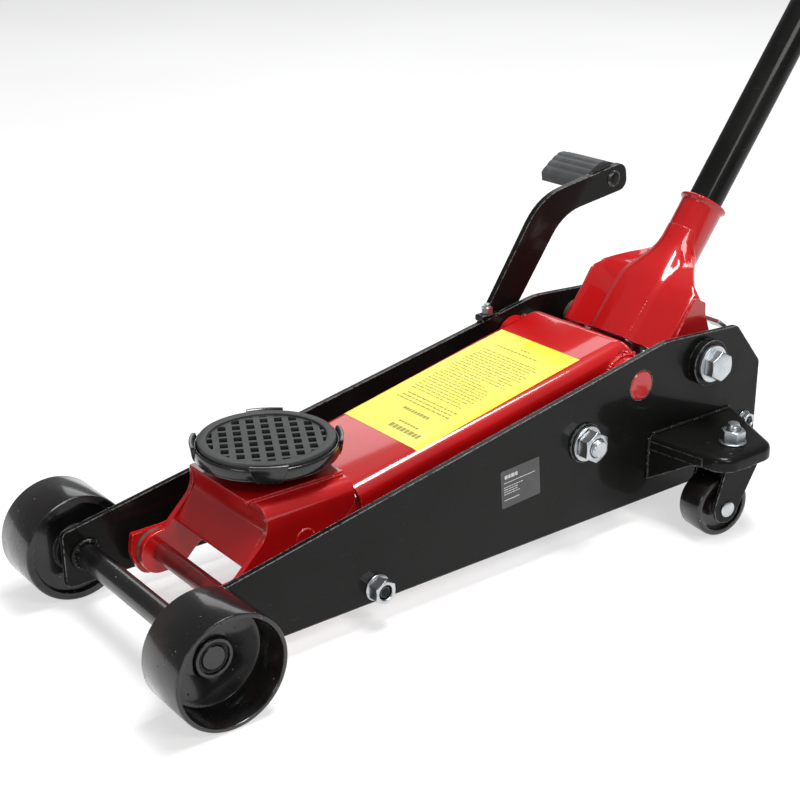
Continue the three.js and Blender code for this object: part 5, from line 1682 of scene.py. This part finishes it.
class JACK_OT_foot_pedal(JackOperator, bpy.types.Operator):
    """Foot pedal: arm, ribbed pad, push bar, pump plunger, stop and return spring"""

    bl_idname = "jack.foot_pedal"
    bl_label = "Foot pedal"

    def execute(self, context):
        self.arm()
        self.pad()
        self.push_bar()
        self.stop_and_spring()
        return {"FINISHED"}

    def arm(self):
        x, z = PEDAL_PIVOT
        bar = rounded(
            [
                (x + 14, z - 12, 10), (x + 14, z + 6, 20), (-487.5, 255, 62), (-596.5, 273.5, 10),
                (-600, 247, 10), (-516, 234.5, 52), (x - 17, z - 3, 8), (x - 14, z - 12, 10),
            ]
        )
        near, far = spans(-1, PEDAL_Y, PEDAL_Y + 6)
        shape = Shape().prism(bar, near, far, holes=[circle(x, z, 5.3)])
        shape.prism(
            capsule((x, z), PEDAL_CRANK, 12, 7.5), near + 0.02, far - 0.02, holes=[circle(x, z, 5.4)]
        )
        shape.done(
            "pedal_lever", finish("black"), "pedal", "black_paint", ("pedal_arm",), bevel=1.0, segments=3
        )
        pins = Shape()
        pins.rod(4, -99.4, -88.6, "Y", (PEDAL_CRANK[0], 0, PEDAL_CRANK[1]), 32)
        hex_body(pins, "Y", (-581, 0, 258.6), 12, -88.4, -86.4)
        pins.ring(8, 3, -88.45, -87.7, "Y", (-581, 0, 258.6))
        pins.done("pedal_pins", finish("black"), "pedal", "black_paint", bevel=0.35)
        bolt = Shape()
        bolt.rod(5, -96, -82.4, "Y", (x, 0, z))
        hex_body(bolt, "Y", (x, 0, z), 16, -94.8, -101)
        bolt.done("pedal_pivot_screw", finish("zinc"), "frame", "zinc", ("pedal_bolt",), bevel=0.35)
        spacer = Shape().ring(9, 5.2, *spans(-1, 86.5, 88.2), "Y", (x, 0, z))
        spacer.done("pedal_spacer", finish("zinc"), "frame", "zinc", bevel=0.2)

    def pad(self):
        """The rubber tread: arched top with ribs across it and a scalloped underside."""
        x, z = -574.0, 262.0
        ribs = sizes().pedal_ribs
        base = [Vector((x - 18, z - 6))]
        crest = [Vector((x - 17 + 46 * k / 60, 0)) for k in range(61)]
        for p in crest:
            t = (p.x - (x - 17)) / 46
            rise, fall = 7.2 * math.sin(math.pi * min(t * 1.25, 1) * 0.5), 36.0 * max(0, t - 0.42) ** 1.25
            arch = z + 9 + rise - fall
            wave = abs(math.sin(math.pi * ribs * t))
            p.y = min(arch + 1.0 * wave**0.7 - 1.2, z + 14.3)
        under = []
        for k in range(41):
            t = k / 40
            low = z - 11.6 + 4.6 * t
            under.append(Vector((x + 28 - 46 * t, low + 3.4 * abs(math.sin(math.pi * 4 * t)) ** 0.8)))
        outline = base + crest + under
        shape = Shape().prism(outline, *spans(-1, 95.1, 152))
        shape.done(
            "pedal_tread", finish("pedal"), "pedal", "rubber", ("pedal_pad",), bevel=0.9, segments=2,
            limit=60,
        )

    def push_bar(self):
        pin = PEDAL_PIN
        bar = Shape().prism(
            capsule(PEDAL_CRANK, pin, 7.5, 8), *spans(-1, 95.2, 99), holes=[circle(*PEDAL_CRANK, 4.6, 32)]
        )
        bar.done("pedal_rod", finish("black"), "pedal_pump", "black_paint", ("pedal_push_bar",), bevel=0.6)
        cross = Shape().rod(5, -99.6, -19.4, "Y", (pin[0], 0, pin[1]), 40)
        cross.done("pedal_cross_pin", finish("steel"), "pedal_pump", "steel", bevel=0.4)
        face = pin[0] + 5.35
        plunger = Shape().lathe(
            [
                (0, face), (7.2, face), (8, face + 0.8), (8, face + 2.4), (7.2, face + 3.2),
                (5.5, face + 3.2), (5.5, -500), (0, -500),
            ],
            "X", (0, PEDAL_PUMP_Y, pin[1]), 48,
        )
        plunger.done(
            "pedal_plunger_bar", finish("chrome"), "pedal_pump", "hard_chrome", ("pedal_plunger",),
            bevel=0.2,
        )
        coil = Shape()
        helix(coil, (face + 3.3, PEDAL_PUMP_Y, pin[1]), (1, 0, 0), 7.4, 19.2, 1.0, 5.5, 26, 8)
        ends = CHASSIS @ Vector((face + 4, PEDAL_PUMP_Y, pin[1])), CHASSIS @ Vector(
            (-531, PEDAL_PUMP_Y, pin[1])
        )
        coil.done(
            "pedal_plunger_coil", finish("spring"), ("pedal_pump", "frame", *ends), "steel", bevel=0,
            dissolve=False,
            smooth=80,
        )

    def stop_and_spring(self):
        block = Shape().prism(
            rounded([(-433, 150, 1.5), (-411, 150, 1.5), (-411, 156, 1.5), (-433, 156, 1.5)]), -92, -81.4
        )
        block.done("pedal_stop", finish("black"), "frame", "black_paint", bevel=0.6)
        nut = Shape()
        hex_body(nut, "Z", (-422, -88, 0), 10, 156.1, 162, 3.1)
        nut.rod(3, 156.05, 165, "Z", (-422, -88, 0), 24)
        nut.done("pedal_stop_nut", finish("zinc"), "frame", "zinc", bevel=0.3)


CASTER_TRAIL = 17.0
CASTER_R = 27.5


class JACK_OT_casters(JackOperator, bpy.types.Operator):
    """Rear casters: forks with their bearings and rivets, and the cast wheels"""

    bl_idname = "jack.casters"
    bl_label = "Casters"

    def execute(self, context):
        leg = rounded([(-15, 65, 2), (21, 65, 2), (31, 30, 12), (28, 15, 11), (8, 15, 11), (4, 28, 10)])
        for name in SIDES:
            fork = Shape(CASTER[name])
            fork.lathe(
                [
                    (0, 62), (19, 62), (20, 63), (20, 65.4), (19, 66), (17.2, 66.6), (17.2, 68.6),
                    (16.4, 69.2), (17, 69.8), (17, 73.8), (16, 74.6), (6, 74.6), (6, 80.5), (0, 80.5),
                ],
                "Z", (0, 0, 0), 80,
            )
            for half in (1, -1):
                fork.prism(leg, *spans(half, 15.5, 18.5), holes=[circle(CASTER_TRAIL, CASTER_R, 5.05, 32)])
            fork.done(
                f"caster_yoke_{name}", finish("black"), f"caster_fork_{name}", "black_paint",
                (f"caster_fork_{name}",), bevel=0.7, segments=3,
            )
            stud = Shape(CASTER[name])
            thread(stud, "Z", (0, 0, 0), 5.9, 80.4, 98, 1.6)
            stud.done(f"caster_stud_{name}", finish("zinc"), f"caster_fork_{name}", "zinc", bevel=0)
            rivet = Shape(CASTER[name])
            rivet.lathe(
                [
                    (0, -20.6), (5.5, -20.6), (7, -19.8), (7, -18.6), (5, -18.6), (5, 18.6), (7, 18.6),
                    (7, 19.8), (5.5, 20.6), (0, 20.6),
                ],
                "Y", (CASTER_TRAIL, 0, CASTER_R), 48,
            )
            rivet.done(f"caster_rivet_{name}", finish("zinc"), f"caster_fork_{name}", "zinc", bevel=0.2)
            half = [
                (5.3, 14.5), (9.3, 14.5), (10, 13.6), (10.4, 8.4), (19.6, 8.2), (21.6, 9.4), (22.3, 12.6),
                (23.2, 13), (25.4, 13), (26.8, 12.3), (27.5, 11),
            ]
            profile = half + [(r, -y) for r, y in reversed(half)]
            wheel = Shape(CASTER[name]).lathe(profile, "Y", (CASTER_TRAIL, 0, CASTER_R), 112)
            wheel.done(
                f"caster_roller_{name}", finish("cast"), f"caster_wheel_{name}", "black_cast",
                (f"caster_wheel_{name}",), bevel=0.25, smooth=50,
            )
        return {"FINISHED"}


FLOOR_HALF, FLOOR_DROP = 90.0, 0.0004
LAMPS = (  # name, place, target, size, watts, colour
    ("key", (0.6, 2.4, 2.4), (0.1, 0, 0.1), (1.3, 0.9), 36, (1, 0.99, 0.97)),
    ("top", (-0.2, 0.2, 3.1), (0, 0, 0.1), (1.6, 0.85), 104, (1, 1, 1)),
    ("front", (3.0, 0.5, 1.3), (0.3, 0, 0.1), (0.9, 0.7), 9, (1, 1, 1)),
    ("rim", (-1.8, -2.6, 2.0), (-0.2, 0, 0.2), (2.4, 1.2), 17, (0.97, 0.98, 1)),
)
CAMERA_AT = Vector((438.4, 911.6, 598.9))
CAMERA_LENS, CAMERA_SENSOR = 67.16, 36
CAMERA_AZIMUTH, CAMERA_ELEVATION, CAMERA_ROLL = (math.radians(a) for a in (142.82, 21.91, -0.54))


class JACK_OT_stage(JackOperator, bpy.types.Operator):
    """Pale floor and backdrop, soft studio lights and the camera"""

    bl_idname = "jack.stage"
    bl_label = "Stage"

    def execute(self, context):
        scene = context.scene
        mesh = bmesh.new()
        corners = ((-1, -1), (1, -1), (1, 1), (-1, 1))
        mesh.faces.new([mesh.verts.new((x * FLOOR_HALF, y * FLOOR_HALF, -FLOOR_DROP)) for x, y in corners])
        data = bpy.data.meshes.new("floor")
        mesh.to_mesh(data)
        mesh.free()
        data.materials.append(finish("floor"))
        floor = bpy.data.objects.new("floor", data)
        scene.collection.objects.link(floor)
        self.world(scene)
        for name, at, target, size, watts, shade in LAMPS:
            lamp = bpy.data.lights.new(name, "AREA")
            lamp.shape, lamp.energy, lamp.color = "RECTANGLE", watts, shade
            lamp.size, lamp.size_y = size
            holder = bpy.data.objects.new(name, lamp)
            holder.location = at
            holder.rotation_euler = (Vector(target) - Vector(at)).to_track_quat("-Z", "Y").to_euler()
            scene.collection.objects.link(holder)
        self.camera(scene)
        scene.view_settings.view_transform = "Standard"
        return {"FINISHED"}

    def world(self, scene):
        world = bpy.data.worlds.new("studio")
        world.use_nodes = True
        shade = world.node_tree.nodes["Background"].inputs
        shade["Color"].default_value = (0.94, 0.95, 0.96, 1)
        shade["Strength"].default_value = 0.22
        scene.world = world

    def camera(self, scene):
        a, e = CAMERA_AZIMUTH, CAMERA_ELEVATION
        back = Vector((math.sin(a) * math.cos(e), -math.cos(a) * math.cos(e), math.sin(e)))
        side = Vector((0, 0, 1)).cross(back).normalized()
        up = back.cross(side)
        c, s = math.cos(CAMERA_ROLL), math.sin(CAMERA_ROLL)
        turned_side, turned_up = side * c + up * s, up * c - side * s
        data = bpy.data.cameras.new("camera")
        data.lens, data.sensor_width = CAMERA_LENS, CAMERA_SENSOR
        data.clip_start, data.clip_end = 0.05, 50
        camera = bpy.data.objects.new("camera", data)
        camera.matrix_world = Matrix.Translation(CHASSIS @ CAMERA_AT) @ Matrix(
            (turned_side, turned_up, back)
        ).transposed().to_4x4()
        scene.collection.objects.link(camera)
        scene.camera = camera


ORDER = (
    JACK_OT_stage, JACK_OT_side_plates, JACK_OT_caster_brackets, JACK_OT_fasteners, JACK_OT_front_wheels,
    JACK_OT_lift_arm, JACK_OT_arm_label, JACK_OT_saddle_support, JACK_OT_saddle, JACK_OT_radius_links,
    JACK_OT_power_unit, JACK_OT_socket, JACK_OT_handle, JACK_OT_foot_pedal, JACK_OT_casters,
)


class JACK_PT_build(bpy.types.Panel):
    """Sizes, colours and build steps of the jack"""

    bl_idname = "JACK_PT_build"
    bl_label = "Trolley jack"
    bl_space_type = "VIEW_3D"
    bl_region_type = "UI"
    bl_category = "Jack"

    def draw(self, context):
        for group in (context.scene.jack_sizes, context.scene.jack_colours):
            for key in group.__annotations__:
                self.layout.prop(group, key)
        for operator in ORDER:
            self.layout.operator(operator.bl_idname)


CLASSES = (JackColours, JackSizes, *ORDER, JACK_PT_build)


def register():
    for cls in CLASSES:
        bpy.utils.register_class(cls)
    bpy.types.Scene.jack_colours = PointerProperty(type=JackColours)
    bpy.types.Scene.jack_sizes = PointerProperty(type=JackSizes)


def unregister():
    del bpy.types.Scene.jack_sizes
    del bpy.types.Scene.jack_colours
    for cls in reversed(CLASSES):
        bpy.utils.unregister_class(cls)


def main():
    register()
    for operator in ORDER:
        group, name = operator.bl_idname.split(".")
        getattr(getattr(bpy.ops, group), name)()


if __name__ == "__main__":
    main()
